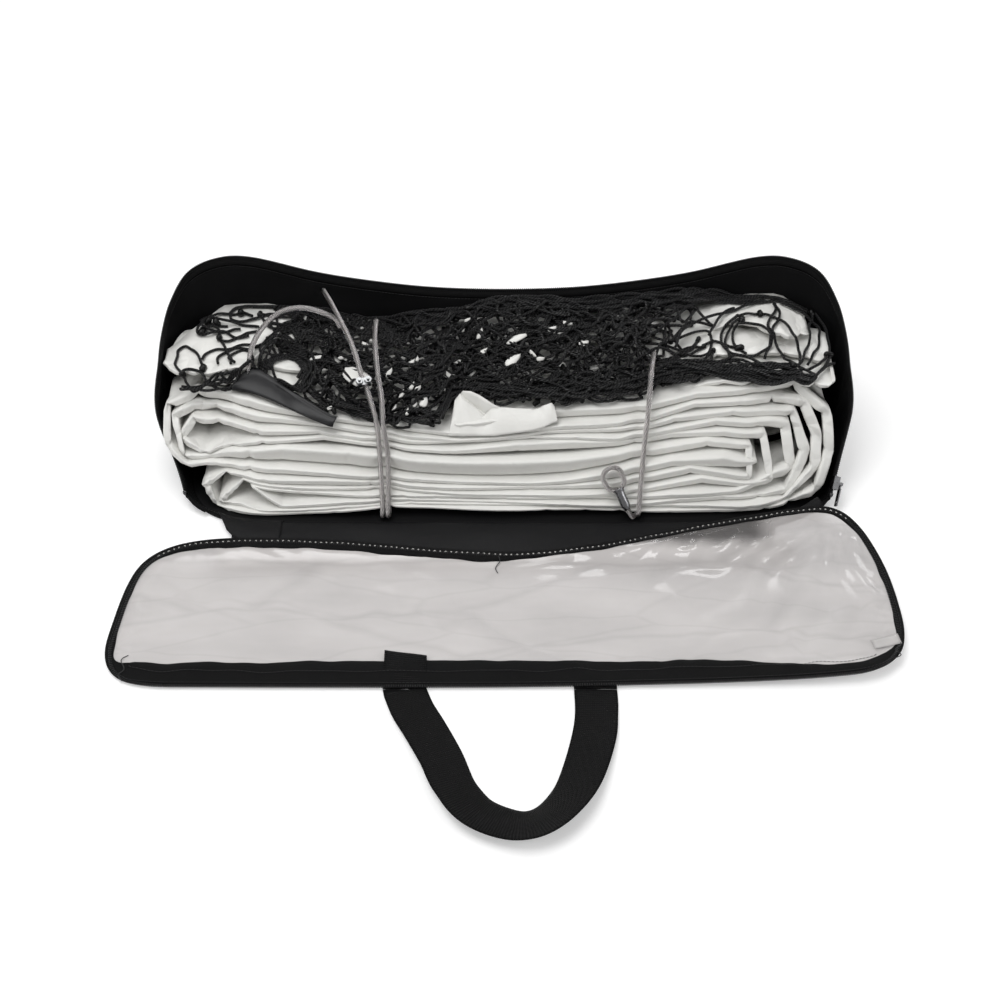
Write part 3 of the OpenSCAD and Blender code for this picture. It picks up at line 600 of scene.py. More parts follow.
# %% Cable routes, in millimetres
CABLE, COAT_THICK = 4.5, 0.75
COAT_RADIUS = CABLE * 0.58
ROUTES = {
    "cable_arc": [[-251, 24, 90], [-246, 56, 110], [-228, 90, 117], [-202, 102, 117.5],
                  [-172, 97, 110], [-164, 92, 100]],
    "cable_tie_front": [[-184, 138, 112], [-170, 103, 116], [-150, 58, 107], [-140, 28, 95],
                        [-131.5, 6, 86], [-122.8, -20, 70], [-120, -41, 46],
                        [-117.5, -71, 17], [-117.5, -80, 9], [-117.5, -77, 4.2],
                        [-117.5, -60, 4]],
    "cable_tie_rear": [[-128, 104, 94], [-128, 92, 108], [-127, 58, 106], [-123, 26, 93],
                       [-119, 4, 84], [-116.8, -20, 70], [-112.3, -41, 46],
                       [-112, -71, 17], [-112, -80, 9], [-112, -77, 4.2], [-112, -60, 4]],
}
FERRULE_FOOT = np.array([118.5, -77, 14])
FERRULE_LENGTH = 19
FERRULE_AXIS = unit([-6, 9, 9.6])
SLOPE_OUT = np.array([0, -0.7071, 0.7071])
EYE_SIDE = unit(np.cross(FERRULE_AXIS, SLOPE_OUT))
EYE_OUT = np.cross(EYE_SIDE, FERRULE_AXIS)
EYE_WIDTH = 17
EYE_REACH = EYE_WIDTH * 1.25
EYE_START = FERRULE_FOOT + FERRULE_LENGTH * FERRULE_AXIS
ROUTES["cable_right"] = [[148, 54, 99], [143.5, 24, 103], [140.5, 0, 91], [138.5, -18, 76],
                         [135, -38, 50], [131, -71, 17], [130, -80, 9], [127.5, -77, 4.2],
                         [124, -80, 5], list(FERRULE_FOOT - FERRULE_AXIS)]


def cable_pair(name, line):
    """The coat and the rope inside it. The coat stands for the solid of that name."""
    coat = ring_mesh(name + "_coat", tube_rings(line, COAT_RADIUS, 14))
    core = ring_mesh(name + "_rope", tube_rings(line, CABLE / 2 - COAT_THICK, 12))
    return (dress(coat, cable_coat, "coated_cable", "bag", name),
            dress(core, cable_core, "coated_cable", "bag"))


# %% [markdown]
# The eye is the cable's own end, bent round and pressed back into the sleeve. Its line
# is drawn in the sleeve's own directions, so that it lies flat on the tape's slope.

# %% Tubes of the cable
eye_turns = 40
t = np.arange(eye_turns + 1) / eye_turns
eye_angle = np.pi * (t * 2 - 1)
eye_along = EYE_REACH * (1 + np.cos(eye_angle)) / 2
eye_across = (np.sin(eye_angle) * (EYE_WIDTH + CABLE) / 2
              * (0.86 + 0.14 * np.cos(eye_angle))
              + np.where(t < 0.5, -1, 1) * 2.5 * (1 - smooth(eye_along / EYE_REACH * 2)))
eye_line = (EYE_START + (eye_along[:, None] + 1.2) * FERRULE_AXIS
            + eye_across[:, None] * EYE_SIDE)
eye_line = np.vstack([EYE_START - 3 * FERRULE_AXIS - 2.2 * EYE_SIDE, eye_line,
                      EYE_START - 3 * FERRULE_AXIS + 2.2 * EYE_SIDE])
eye_pair = cable_pair("cable_eye", eye_line)

for name, route in ROUTES.items():
    line = spline(route, 8)
    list(cable_pair(name, line))
    print(name, "shows", round(run_length(line)[-1]), "mm")

# %% [markdown]
# ## The crimped sleeve
#
# A soft metal sleeve is pressed over the cable's two legs. It flares at its mouth,
# is flattened where the press closed on it and narrows at its foot. It starts as a
# cylinder. In edit mode each end face is picked, drawn out in a few steps and made
# wider or narrower at each, and the mouth is hollowed with an inset. The press marks
# come last, by moving points, and a bevel takes off the sharp edges.

# %% Sleeve
def pick_end(piece, side):
    """Selects in edit mode the end face that looks up (1) or down (-1)."""
    bpy.ops.object.mode_set(mode="OBJECT")
    mesh = piece.data
    for part in (mesh.vertices, mesh.edges, mesh.polygons):
        part.foreach_set("select", [False] * len(part))
    for polygon in mesh.polygons:
        polygon.select = polygon.normal.z * side > 0.9
    bpy.ops.object.mode_set(mode="EDIT")
    bpy.ops.mesh.select_mode(type="FACE")


bpy.ops.object.select_all(action="DESELECT")
bpy.ops.mesh.primitive_cylinder_add(vertices=32, radius=4.2 * MM, depth=12 * MM,
                                    location=(0, 0, 9 * MM))
ferrule = bpy.context.object
ferrule.name = "eye_ferrule_sleeve"
bpy.ops.object.transform_apply(location=True)
# How far each step draws the end out, and how much wider it gets
for side, steps in ((1, [(2.4, 1.12), (2.0, 1.12), (0.5, 0.94)]),
                    (-1, [(2.2, 0.86), (2.2, 0.8), (1.0, 0.78)])):
    pick_end(ferrule, side)
    for move, grow in steps:
        bpy.ops.mesh.extrude_region_move(
            TRANSFORM_OT_translate={"value": (0, 0, side * move * MM)})
        bpy.ops.transform.resize(value=(grow, grow, 1))
    if side == 1:
        bpy.ops.mesh.inset(thickness=0.9 * MM)
        bpy.ops.mesh.extrude_region_move(
            TRANSFORM_OT_translate={"value": (0, 0, -2.5 * MM)})
bpy.ops.mesh.select_all(action="SELECT")
bpy.ops.transform.resize(value=(0.86, 1.06, 1))
bpy.ops.mesh.normals_make_consistent(inside=False)
bpy.ops.object.mode_set(mode="OBJECT")
for vertex in ferrule.data.vertices:
    press = bell(vertex.co.z / MM, 6.5, 1.3) + bell(vertex.co.z / MM, 11, 1.3)
    vertex.co.x *= 1 - 0.13 * press
    vertex.co.y *= 1 + 0.05 * press
only(ferrule)
edges = ferrule.modifiers.new("edges", "BEVEL")
edges.width, edges.segments = 0.25 * MM, 3
edges.limit_method, edges.angle_limit = "ANGLE", math.radians(35)
bpy.ops.object.modifier_apply(modifier="edges")
bpy.ops.object.shade_smooth_by_angle(angle=math.radians(40))
# From the sleeve's own directions to its place on the cable
turn = Matrix([tuple(way) for way in (EYE_OUT, EYE_SIDE, FERRULE_AXIS)]).transposed()
ferrule.data.transform(Matrix.Translation(Vector(FERRULE_FOOT) * MM) @ turn.to_4x4())
ferrule.data.update()
dress(ferrule, crimp_metal, "crimp_metal", "bag", "eye_ferrule")

# %% [markdown]
# The ties' lines are the cable routes above. All four go back into the net's hem, apart
# from the right one, which ends in the sleeve and its eye. The cable clip's parts get the
# zinc finish.

CLIP = ("clip_saddle", "clip_ubolt", "clip_nuts")
repaint(zinc, *CLIP)

# %% [markdown]
# ## The head tape
#
# The net's top edge is sewn into a white coated band 70 mm wide. The whole net is
# folded back and forth with it, so the band is one unbroken ribbon in thirteen layers.
# What shows is its folded front edge, layer on layer. A pile of thirteen separate
# strips would look much the same from the front, but it would have no bends at the
# ends. So the line that the band follows is worked out first, layer by layer and bend
# by bend, and the band is one strip along it.

# %% The stack: where each layer lies
HALF_X, HALF_Y, FABRIC = 320.0, 84.5, 1.2
TIE_LEFT, TIE_RIGHT = -116.0, 126.0
LAYERS = 13


def stack_front(x, z):
    """The stack leans back as it rises, and a little more at its two ends."""
    return -HALF_Y + 3 + z + 10 * smooth((abs(x) - 225) / 60)


def head_depth(x):
    return 70 - 25 * smooth((abs(x) - 215) / 60)


# Thickness of the thirteen layers at ten places along the stack, top layer first, in
# mm. The band isn't pressed evenly: some layers lie edge on and some show their face.
# The fifth and the twelfth number are the hollows inside the two left bends.
LOOK_X = [-290, -240, -180, -116, -43, 45, 126, 190, 250, 290]
LOOKS = np.array([
    [6, 9, 9, 8, 17, 4, 4, 4, 3, 2.5, 2.5, 12, 3, 3, 3],
    [6, 11, 9, 7, .5, 4, 14, 8, 4, 2, 2, 11, 3, 3, 2.5],
    [6, 5, 4, 4.5, 0, 4.5, 19, 6, 7.5, 4, 4, .5, 4, 3, 3],
    [5, 4.5, 5, 5, 0, 4, 15.5, 4.5, 4.5, 3, 3, 0, 3, 2, 2],
    [6, 5, 3, 3, 0, 5, 17, 4, 4, 3, 3, 0, 2, 2, 2],
    [9, 5.5, 3, 2.5, 0, 12, 18, 4, 3.5, 3, 2.5, 0, 2.5, 2, 2],
    [8, 5.5, 5, 5, 0, 5, 10, 9, 8, 5, 4, 0, 3, 2.5, 2],
    [7, 6, 7, 6.5, 0, 7, 8, 8.5, 8.5, 8, 7, 0, 5.5, 4, 4],
    [8, 8, 8, 8, 0, 8, 7.5, 15, 5, 4.5, 4.5, 0, 4, 4, 4],
    [7.5, 8, 7.5, 8, 0, 8, 7.5, 15, 5, 4.5, 4, 0, 4, 4, 4]])
LIFTS = [2.5, 2, 4, 10, 8, 7.5, 5.5, 3.5, 4, 5]
LAYER_COLUMN = [0, 1, 2, 3, 5, 6, 7, 8, 9, 10, 12, 13, 14]
above = np.hstack([np.zeros((len(LOOK_X), 1)), np.cumsum(LOOKS, axis=1)])
stack_levels = np.array(LIFTS)[:, None] + above[:, -1:] - above
fine_x = np.linspace(-345, 345, 231)
fine_levels = np.array([blurred(np.interp(fine_x, LOOK_X, column), np.hanning(15))
                        for column in stack_levels.T])


def layer_edges(k, x):
    """Height of the top and the bottom of layer k at x."""
    column = LAYER_COLUMN[k - 1]
    return (np.interp(x, fine_x, fine_levels[column]),
            np.interp(x, fine_x, fine_levels[column + 1]))


def layer_middle(k, x):
    top, low = layer_edges(k, x)
    return (top + low) / 2, top - low


# %% [markdown]
# The order in which the layers join up is what makes it one ribbon: the flap on top
# runs to the right, turns under everything to the bottom, comes back, and so on to the
# middle of the spiral. At the right the bends lie one inside the other round a small
# hollow. At the left they form two groups, one above the other.

# %% The line of the head tape
FOLD_ORDER = [1, 13, 8, 6, 3, 11, 10, 4, 5, 9, 12, 2, 7]
FLAP_X, INNER_END_X = -48.0, 240.0
TIP_STEP, POINT_STEP = 12.0, 2.7
LEFT_TIPS = {(2, 7): -335, (3, 6): -328, (4, 5): -320, (8, 13): -296, (9, 12): -287,
             (10, 11): -262}


def bend_tip(k, m, right):
    """A bend that joins layers far apart goes round the others and reaches furthest."""
    if right:
        nested = max(0, 6 - (abs(k - m) + 1) // 2)
        return HALF_X + 4.0 - TIP_STEP * nested
    return LEFT_TIPS[min(k, m), max(k, m)]


def bend_start(k, m, right):
    reach = 9 + 3.1 * abs(k - m) if right else 12 + 2.6 * abs(k - m)
    return bend_tip(k, m, right) - (1 if right else -1) * reach


def layer_run(k, a, b):
    x = np.linspace(a, b, max(3, int(abs(b - a) / POINT_STEP)))
    z, thick = layer_middle(k, x)
    return np.stack([x, z, thick], axis=1)


def hairpin(k, m, right):
    """From layer k to layer m round the bend at one end."""
    start, tip = bend_start(k, m, right), bend_tip(k, m, right)
    z1, t1 = layer_middle(k, start)
    z2, t2 = layer_middle(m, start)
    steps = max(12, int(abs(z1 - z2) / 2.0))
    angle = np.linspace(0, np.pi, steps + 1)[1:-1]
    middle, half = (z1 + z2) / 2, (z1 - z2) / 2
    bulge = np.sin(angle) ** (0.8 if right else 0.7)
    thick = t1 + (t2 - t1) * angle / np.pi
    full = TIP_STEP * 0.96 if right else 8.0
    thick = thick + (full - thick) * np.sin(angle) ** 0.7
    return np.stack([start + (tip - thick / 2 * (1 if right else -1) - start) * bulge,
                     middle + half * np.cos(angle), thick], axis=1)


head_runs, head_layer = [], []
for i, k in enumerate(FOLD_ORDER):
    to_right = i % 2 == 0
    before = FLAP_X if i == 0 else bend_start(FOLD_ORDER[i - 1], k, not to_right)
    after = INNER_END_X if i == LAYERS - 1 else bend_start(k, FOLD_ORDER[i + 1], to_right)
    run = layer_run(k, before, after)
    head_runs.append(run)
    head_layer += [k] * len(run)
    if i < LAYERS - 1:
        turn_points = hairpin(k, FOLD_ORDER[i + 1], to_right)
        head_runs.append(turn_points)
        head_layer += [0 if i in (1, 9) else -1] * len(turn_points)
# The inner end is tucked back under itself
end_x, end_z, end_thick = head_runs[-1][-1]
curl = np.linspace(0, 1.25 * np.pi, 14)[1:]
head_runs[-1][-12:, 2] = np.linspace(end_thick, 4.5, 12)
head_runs[-1][-12:, 1] -= np.linspace(0, 3.0, 12)
curl_line = np.stack([end_x + 6.0 * np.sin(curl), end_z - 3.0 + 4.2 * (1 - np.cos(curl)),
                      0 * curl + 4.5], axis=1)
head_runs.append(curl_line)
head_layer += [-1] * len(curl_line)
head_line = np.vstack(head_runs)
head_layer = np.array(head_layer)
head_length = run_length(head_line[:, :2])
print("head tape:", round(head_length[-1] / 1000, 2), "m in", LAYERS, "layers")

# %% [markdown]
# Coated tape doesn't bend like rubber. It creases: flat facets meet at sharp straight
# ridges, close together in the bends and where the cable pinches the stack, and far
# apart in between. Smooth noise would look like cloth. So the dents are sums of a few
# folded ramps: along each of several directions, seeded heights at uneven steps are
# joined by straight lines.

# %% Cross-section and creases of the head tape
def creased(along, across, low, high, seed, ways=4):
    """A faceted surface over two lengths, about -1 to 1."""
    rng = np.random.default_rng(seed)
    total = np.zeros_like(along)
    for n in range(ways):
        angle = math.pi * (n + rng.uniform(0.1, 0.9)) / ways
        ramp = along * math.cos(angle) + across * math.sin(angle)
        knots = [ramp.min() - high]
        while knots[-1] < ramp.max() + high:
            knots.append(knots[-1] + rng.uniform(low, high))
        heights = rng.uniform(0.35, 1, len(knots))
        heights[::2] *= -1
        total += np.interp(ramp, knots, heights)
    return total * 1.3 / ways


def cornered(line, share, seed, near=(13, 29), far=(30, 66)):
    """Straightens a smooth line between uneven corners, close together in the bends.
    Gives the line, the distance to the next corner, and how that corner is dented."""
    rng = np.random.default_rng(seed)
    length = run_length(line[:, :2])
    corners = [0]
    while corners[-1] < len(line) - 1:
        s = share[corners[-1]]
        step = rng.uniform(*near) * s + rng.uniform(*far) * (1 - s)
        k = int(np.searchsorted(length, length[corners[-1]] + step))
        corners.append(min(max(k, corners[-1] + 2), len(line) - 1))
    straight = at_lengths(length, length[corners], line[corners])
    apart = np.abs(length[:, None] - length[corners][None])
    nearest = apart.argmin(axis=1)
    return straight, apart.min(axis=1), rng.uniform(-1, 1, len(corners))[nearest], \
        rng.uniform(0.1, 1.0, len(corners))[nearest]


# Upper half of the folded edge's rounded nose, then of the flat band behind it
NOSE_BACK = np.array([.02, .0, .04, .3, .95, 2.2, 5.0])
NOSE_UP = np.array([.0, .45, .78, .93, 1.0, .96, .62])
BAND_BACK = np.array([0.3, 0.65, 1.0])
SECTION = 19


def tape_section(thick, depth, body):
    """Rows of (back, up) round the section of a folded edge, from its front middle."""
    half = (thick / 2 * 0.955)[:, None]
    nose = np.clip(half * 0.62, 0.8, 3.4)
    flat = np.broadcast_to(float(body), half.shape)
    back = np.hstack([nose * NOSE_BACK, depth[:, None] * BAND_BACK])
    up = np.hstack([half * NOSE_UP, np.minimum(half * 0.5, body * 2), flat, flat])
    return np.hstack([back, back[:, :0:-1]]), np.hstack([up, -up[:, :0:-1]])


def tape_mesh(name, line, lengths, thick, front, depth, body, seed, bend_share, corner,
              ruche=None, reach=16.0):
    """A folded band: its section set along a line, with creases and dented corners."""
    tangent = tangents(line[:, :2])
    up_way = np.stack([-tangent[:, 1], tangent[:, 0]], axis=1)
    back, up = tape_section(thick, depth, body)
    near_front = np.clip(1.25 - back / reach, 0, 1)
    around = np.where(np.arange(back.shape[1]) > 9, -1, 1) * back + up * 0.9
    s = lengths[:, None] + 0 * around
    share = bend_share[:, None]
    big = creased(s, around, 16, 38, seed)
    small = creased(s, around, 7, 17, seed + 1)
    long = creased(s * 0.32, around * 1.4, 12, 30, seed + 2, 3)
    dent = share * (3.9 * big + 1.7 * small) + (1 - share) * (0.55 * long + 0.15 * small)
    lift = share * (2.3 * creased(s, around, 14, 34, seed + 3) + 0.7 * small) \
        + (1 - share) * 0.35 * long
    if ruche is not None:
        dent = dent + ruche[:, None] * 2.2 * np.sin(2 * np.pi * s / 9.0 + around * 0.4)
    away, lean, deep = (c[:, None] for c in corner)
    wide = np.clip(5.5 + 7.0 * lean * around / 6, 1.6, 15)
    fold = np.clip(1 - away / wide, 0, 1)
    dent = dent + (0.9 + 4.6 * share) * deep * fold
    lift = lift - 1.6 * share * deep * fold * np.sign(around)
    offset = up + lift * near_front
    rings = np.empty((len(line), back.shape[1], 3))
    rings[:, :, 0] = line[:, :1] + up_way[:, :1] * offset
    rings[:, :, 2] = np.maximum(line[:, 1:2] + up_way[:, 1:] * offset, FABRIC + 0.2)
    rings[:, :, 1] = front[:, None] + back + dent * near_front
    piece = ring_mesh(name, rings)
    mesh_numbers(piece, "crumple", share * near_front)
    return piece


# %% The ribbon
x = head_line[:, 0]
bend_share = smooth((np.abs(x) - 228) / 60)
head_line, *head_corner = cornered(head_line, 0.8 * bend_share, 77)
x, z = head_line[:, 0], head_line[:, 1]
in_bend = smooth((np.abs(x) - 215) / 65) * 0.9 + 0.35 * bell(x, TIE_LEFT, 16) \
    + 0.3 * bell(x, TIE_RIGHT, 16) + 0.6 * bell(x, FLAP_X, 40) * (head_layer == 1)
in_bend = np.clip(in_bend, 0, 1)
gather = blurred(np.where(head_layer == 0, 1.0, 0.0), np.ones(9))
shift = np.zeros(len(x))
for k in range(-1, LAYERS + 1):
    mine = head_layer == k
    shift[mine] = 2.2 * ripple(np.stack([x[mine], 0 * x[mine]], axis=1), 190, 40 + k)
shift = blurred(shift, np.ones(13))
pinch = 3.2 * bell(x, -112, 13) + 2.6 * bell(x, TIE_RIGHT, 10)
front = stack_front(x, z) + shift + pinch * smooth((z - 8) / 12)
head_tape = tape_mesh("head_tape_ribbon", head_line, head_length, head_line[:, 2], front,
                      head_depth(x) - shift, 1.3, 900, in_bend, head_corner, gather)
dress(head_tape, white_vinyl, "white_vinyl", "bag", "head_tape")
print("head tape has", len(head_tape.data.polygons), "faces")

# %% [markdown]
# The ribbon's outer end isn't tucked in. Its corner is folded up and stands against the
# net, so it shows its whole face. It is a small sheet set between a lower and an upper
# edge. At the left its top folds inwards, so that a dark pocket opens between the front
# face's upper edge and the edge behind it.

# %% Folded end of the head tape
flap_low = np.array([[-54, -24, 59], [-46, -24, 59], [-40, -25, 59.5], [-33, -25, 60],
                     [-26, -25, 60], [-19, -25.5, 60.5], [-13, -26, 61], [-6, -26, 61.5],
                     [6, -25, 63], [18, -25, 65], [30, -24, 67], [39, -22, 69],
                     [46, -19, 71], [52, -17, 72]], float)
flap_edge = np.array([[-50, -5, 70], [-48, 6, 79], [-43, 10, 84], [-36, 4, 80],
                      [-27, 0, 75], [-20, -5, 70], [-14, -3, 75], [-4, -3, 78],
                      [7, -4, 78], [18, -5, 78], [30, -5, 78], [38, -4, 81],
                      [46, -2, 83], [49, -4, 80]], float)
flap_back = flap_edge.copy()
flap_back[2:7] = [[-40, 12, 86], [-32, 10, 87], [-24, 7.5, 84.5], [-16, 2.5, 82],
                  [-9, -1, 79]]
POCKET = [0, 0, 3, 9, 11, 9, 3, 0, 0, 0, 0, 0, 0, 0]
out = unit([0, -1.0, 1.0])
flap_rings = []
for c in np.linspace(0, 13, 79):
    p, q, r = (at_lengths(c, range(14), edge) for edge in (flap_low, flap_edge, flap_back))
    pocket = np.interp(c, range(14), POCKET)
    s = np.linspace(0, 1, 11)[:, None]
    crease = 1 - np.minimum(1, np.abs(c - 5.3 - 1.2 * (1 - s)) / 0.8)
    crease += 1 - np.minimum(1, np.abs(c - 10.4 - 1.3 * (1 - s)) / 0.6)
    face = p + (q - p) * s + out * (1.3 * np.sin(np.pi * s) - 1.7 * crease * s)
    deep = q + (r - q) * 0.35 - np.array([0, 0.1, 1.0]) * pocket
    s = np.linspace(0, 1, 5)[1:, None]
    row = np.vstack([face, q + (deep - q) * s, deep + (r + out * 0.2 - deep) * s])
    flap_rings.append(np.vstack([row, (row - out * 1.1)[::-1]]))
flap = dress(ring_mesh("head_tape_folded_end", flap_rings), white_vinyl, "white_vinyl",
             "bag")
print("folded end made")

# %% [markdown]
# ## The bag
#
# The bag is a flat floor panel with one long strip of coated fabric sewn round its two
# sides and its back. Cut as plates it would look like a box. So the wall is lofted from
# the floor's outline to the rim's line: each station has a point on the seam below and
# a point on the rim above, and the rows between them belly out a little and carry soft
# vertical folds. The rim sags in the middle of the back and stands up at the two rear
# corners, as the zip holds it there.

# %% Outline of the floor and line of the rim
CORNER = 60.0


def floor_point(q):
    cx, cy = HALF_X - CORNER, HALF_Y - CORNER
    if q < 1:
        return [cx + CORNER * math.sin(math.radians(90 * q)),
                -cy - CORNER * math.cos(math.radians(90 * q)), FABRIC]
    if q < 2:
        return [HALF_X, -cy + 2 * cy * (q - 1), FABRIC]
    if q < 3:
        a = math.radians(90 * (q - 2))
        return [cx + CORNER * math.cos(a), cy + CORNER * math.sin(a), FABRIC]
    return [cx * (4 - q), HALF_Y, FABRIC]


# Place on the floor's outline, lean out along X and Y, and height, for the right half
RIM_KEYS = [[0.00, 2.1, -16, 5], [0.67, 10.5, -6, 14], [1.45, 21, 0, 60],
            [1.91, 21, 22.1, 98.3], [2.06, 19.95, 45.5, 112.2], [2.24, 18.06, 58.5, 124.4],
            [2.50, 15.96, 65, 139.2], [2.76, 8.4, 65, 147], [3.00, -5.04, 65, 145.7],
            [3.27, 0, 65, 126.8], [3.50, 0, 65, 115.1], [3.73, 0, 65, 107.5],
            [4.00, 0, 65, 105]]
rim_points = np.array([np.array(floor_point(k[0])) * (1, 1, 0) + (k[1], k[2], k[3])
                       for k in RIM_KEYS])
rim_last = len(RIM_KEYS) - 1


def rim_slope(k):
    if k in (1, 2):
        return rim_points[2] - rim_points[1]
    if k == rim_last:
        return np.array([-70.0, 0, 0])
    return (rim_points[min(k + 1, rim_last)] - rim_points[max(k - 1, 0)]) / 2


WALL_STEPS = 10
half_low, half_rim = [], []
for k in range(rim_last):
    for t in np.arange(WALL_STEPS) / WALL_STEPS:
        q = RIM_KEYS[k][0] + (RIM_KEYS[k + 1][0] - RIM_KEYS[k][0]) * t
        half_low.append(floor_point(q))
        half_rim.append(hermite(rim_points[k], rim_points[k + 1], rim_slope(k),
                                rim_slope(k + 1), t))
MIRROR = np.array([-1, 1, 1])
wall_low, wall_rim = (np.vstack([half, [middle], np.array(half)[::-1] * MIRROR])
                      for half, middle in ((half_low, floor_point(4)),
                                           (half_rim, rim_points[-1])))


def drawn_in(points):
    """The two front corners give way under the heavy net and slip inwards."""
    near = smooth((8 - points[:, 1]) / 40) * smooth((np.abs(points[:, 0]) - 200) / 70)
    low = smooth((75 - points[:, 2]) / 60)
    slip = np.where(points[:, 0] < 0, 9.0, 1.5) * near * low
    moved = points.copy()
    moved[:, 0] -= np.sign(points[:, 0]) * slip
    moved[:, 1] += 0.35 * slip
    return moved


wall_low, wall_rim = drawn_in(wall_low), drawn_in(wall_rim)
STATIONS = len(wall_rim)


def still(values):
    """Keeps a direction as it is at the middle of the zip's straight run."""
    values = values.copy()
    for first, last in ((WALL_STEPS, 2 * WALL_STEPS),
                        (STATIONS - 1 - 2 * WALL_STEPS, STATIONS - 1 - WALL_STEPS)):
        values[first:last + 1] = values[(first + last) // 2]
    return values


wall_up = still(unit(wall_rim - wall_low))
rim_way = tangents(wall_rim)
wall_out = still(unit(np.cross(rim_way, wall_up)))
print("wall stations:", STATIONS, "rim length", round(run_length(wall_rim)[-1]), "mm")

# %% The wall
CHAIN_WIDTH, ZIP_TAPE = 3.4, 5.0
wall_top = wall_rim - (CHAIN_WIDTH + ZIP_TAPE - 0.6) * wall_up
wall_height = np.linalg.norm(wall_top - wall_low, axis=1)
wall_along = run_length(wall_rim)
rows = []
for t in np.linspace(0, 1, 22):
    face = wall_low + (wall_top - wall_low) * t
    place_on_wall = np.stack([wall_along, wall_height * t], axis=1)
    fold = (1.9 * ripple(place_on_wall * (1, 0.25), 75, 61) * np.sin(np.pi * t) ** 0.6
            + 0.7 * ripple(place_on_wall * (1, 0.4), 28, 62) * np.sin(np.pi * t) ** 0.8)
    belly = 5 * np.sin(np.pi * t) * np.minimum(1, wall_height / 105)
    strength = np.minimum(1, wall_height / 60)
    rows.append(face + (belly + fold * strength)[:, None] * wall_out)
outer = np.array(rows).transpose(1, 0, 2)
inner = outer - FABRIC * wall_out[:, None]
wall_rings = np.concatenate([outer, inner[:, ::-1]], axis=1)
bag_wall = ring_mesh("bag_wall_fabric", wall_rings)
dress(bag_wall, bag_fabric, "bag_fabric", "bag", "bag_wall")

# %% [markdown]
# The floor panel lies flat on the ground under the net. A grid of rings from its
# outline to its middle keeps it soft enough for a few low wrinkles on its upper side,
# and a ring of piping covers the seam.

# %% Floor panel and piping
outline = np.array([floor_point(q) for q in np.concatenate(
    [np.linspace(0, 1, 14), np.linspace(1.2, 1.8, 4), np.linspace(2, 3, 14),
     np.linspace(3.1, 4, 12)])])[:, :2]
outline = np.vstack([outline, (outline * (-1, 1))[::-1][1:]])
front_edge = np.linspace(-HALF_X + CORNER, HALF_X - CORNER, 26)[1:-1]
outline = np.vstack([outline, np.stack([front_edge, 0 * front_edge - HALF_Y], axis=1)])
outline = drawn_in(np.column_stack([outline, 0 * outline[:, 0]]))[:, :2]
shares = np.array([1, 0.985, 0.9, 0.75, 0.55, 0.35, 0.15, 0.02])
top = [np.column_stack([outline * s, FABRIC + 0.12 * (1 - s) * ripple(outline * s, 60, 5)])
       for s in shares]
bottom = [np.column_stack([outline * s, 0 * outline[:, 0]]) for s in shares[::-1]]
floor_panel = ring_mesh("bag_floor_fabric", bottom + top)
dress(floor_panel, bag_fabric, "bag_fabric", "bag", "bag_floor")

piping_way = unit(np.column_stack([wall_low[:, 0] - np.clip(wall_low[:, 0], -260, 260),
                                   wall_low[:, 1] - np.clip(wall_low[:, 1], -24.5, 24.5),
                                   0 * wall_low[:, 0]]))
piping_line = wall_low + piping_way * 1.5 + (0, 0, 0.15)
dress(ring_mesh("floor_piping_cord", tube_rings(piping_line, 1.3, 8)), black_trim,
      "black_trim", "bag", "floor_piping")
print("bag pieces:", bag_wall.name, floor_panel.name)

# %% [markdown]
# ## Zip
#
# A coil zip is a nylon spring sewn along the edge of a woven tape. Each turn of the
# spring is one tooth. One tooth is modelled once, as a small bent bar with rounded
# ends, and copied along the rim, turned square to it at each place. The copies are
# joined into one mesh, because a thousand objects would be slow to handle.

# %% One tooth and the rows of teeth
TOOTH_POINTS = 30


def one_tooth(width, pitch, thick):
    """Corner points and faces of one turn of the coil, across the tape's edge."""
    across = np.array([-0.5, -0.28, 0.1, 0.36, 0.5]) * width
    fat = np.array([0.45, 0.8, 0.8, 1.0, 0.5]) * thick / 2
    wide = np.array([0.4, 0.62, 0.62, 0.8, 0.45]) * pitch / 2
    points = []
    for a, f, w in zip(across, fat, wide):
        points += [(-w, a, -f * 0.6), (-w, a, f * 0.6), (0, a, f), (w, a, f * 0.6),
                   (w, a, -f * 0.6), (0, a, -f)]
    return np.array(points), [tuple(range(5, -1, -1)), tuple(range(24, 30)),
                              *tube_faces(5, 6)]


def teeth_row(name, line, ups, outs, pitch, width, thick):
    """Teeth along a line. ups points across the tape to its edge, outs off its face."""
    length = run_length(line)
    places = np.arange(pitch / 2, length[-1], pitch)
    tooth, tooth_faces = one_tooth(width, pitch, thick)
    points, faces = [], []
    for n, s in enumerate(places):
        p, u, o = (at_lengths(s, length, v) for v in (line, ups, outs))
        ahead = at_lengths(s + 0.5, length, line)
        along = unit(ahead - p) if s + 0.5 < length[-1] else along
        u = unit(u - along * (u @ along))
        o = np.cross(along, u) * np.sign(np.cross(along, u) @ o)
        points.append(p + tooth[:, :1] * along + tooth[:, 1:2] * u + tooth[:, 2:] * o)
        faces += [tuple(n * len(tooth) + i for i in f) for f in tooth_faces]
    return new_piece(name, np.vstack(points) * MM, faces)


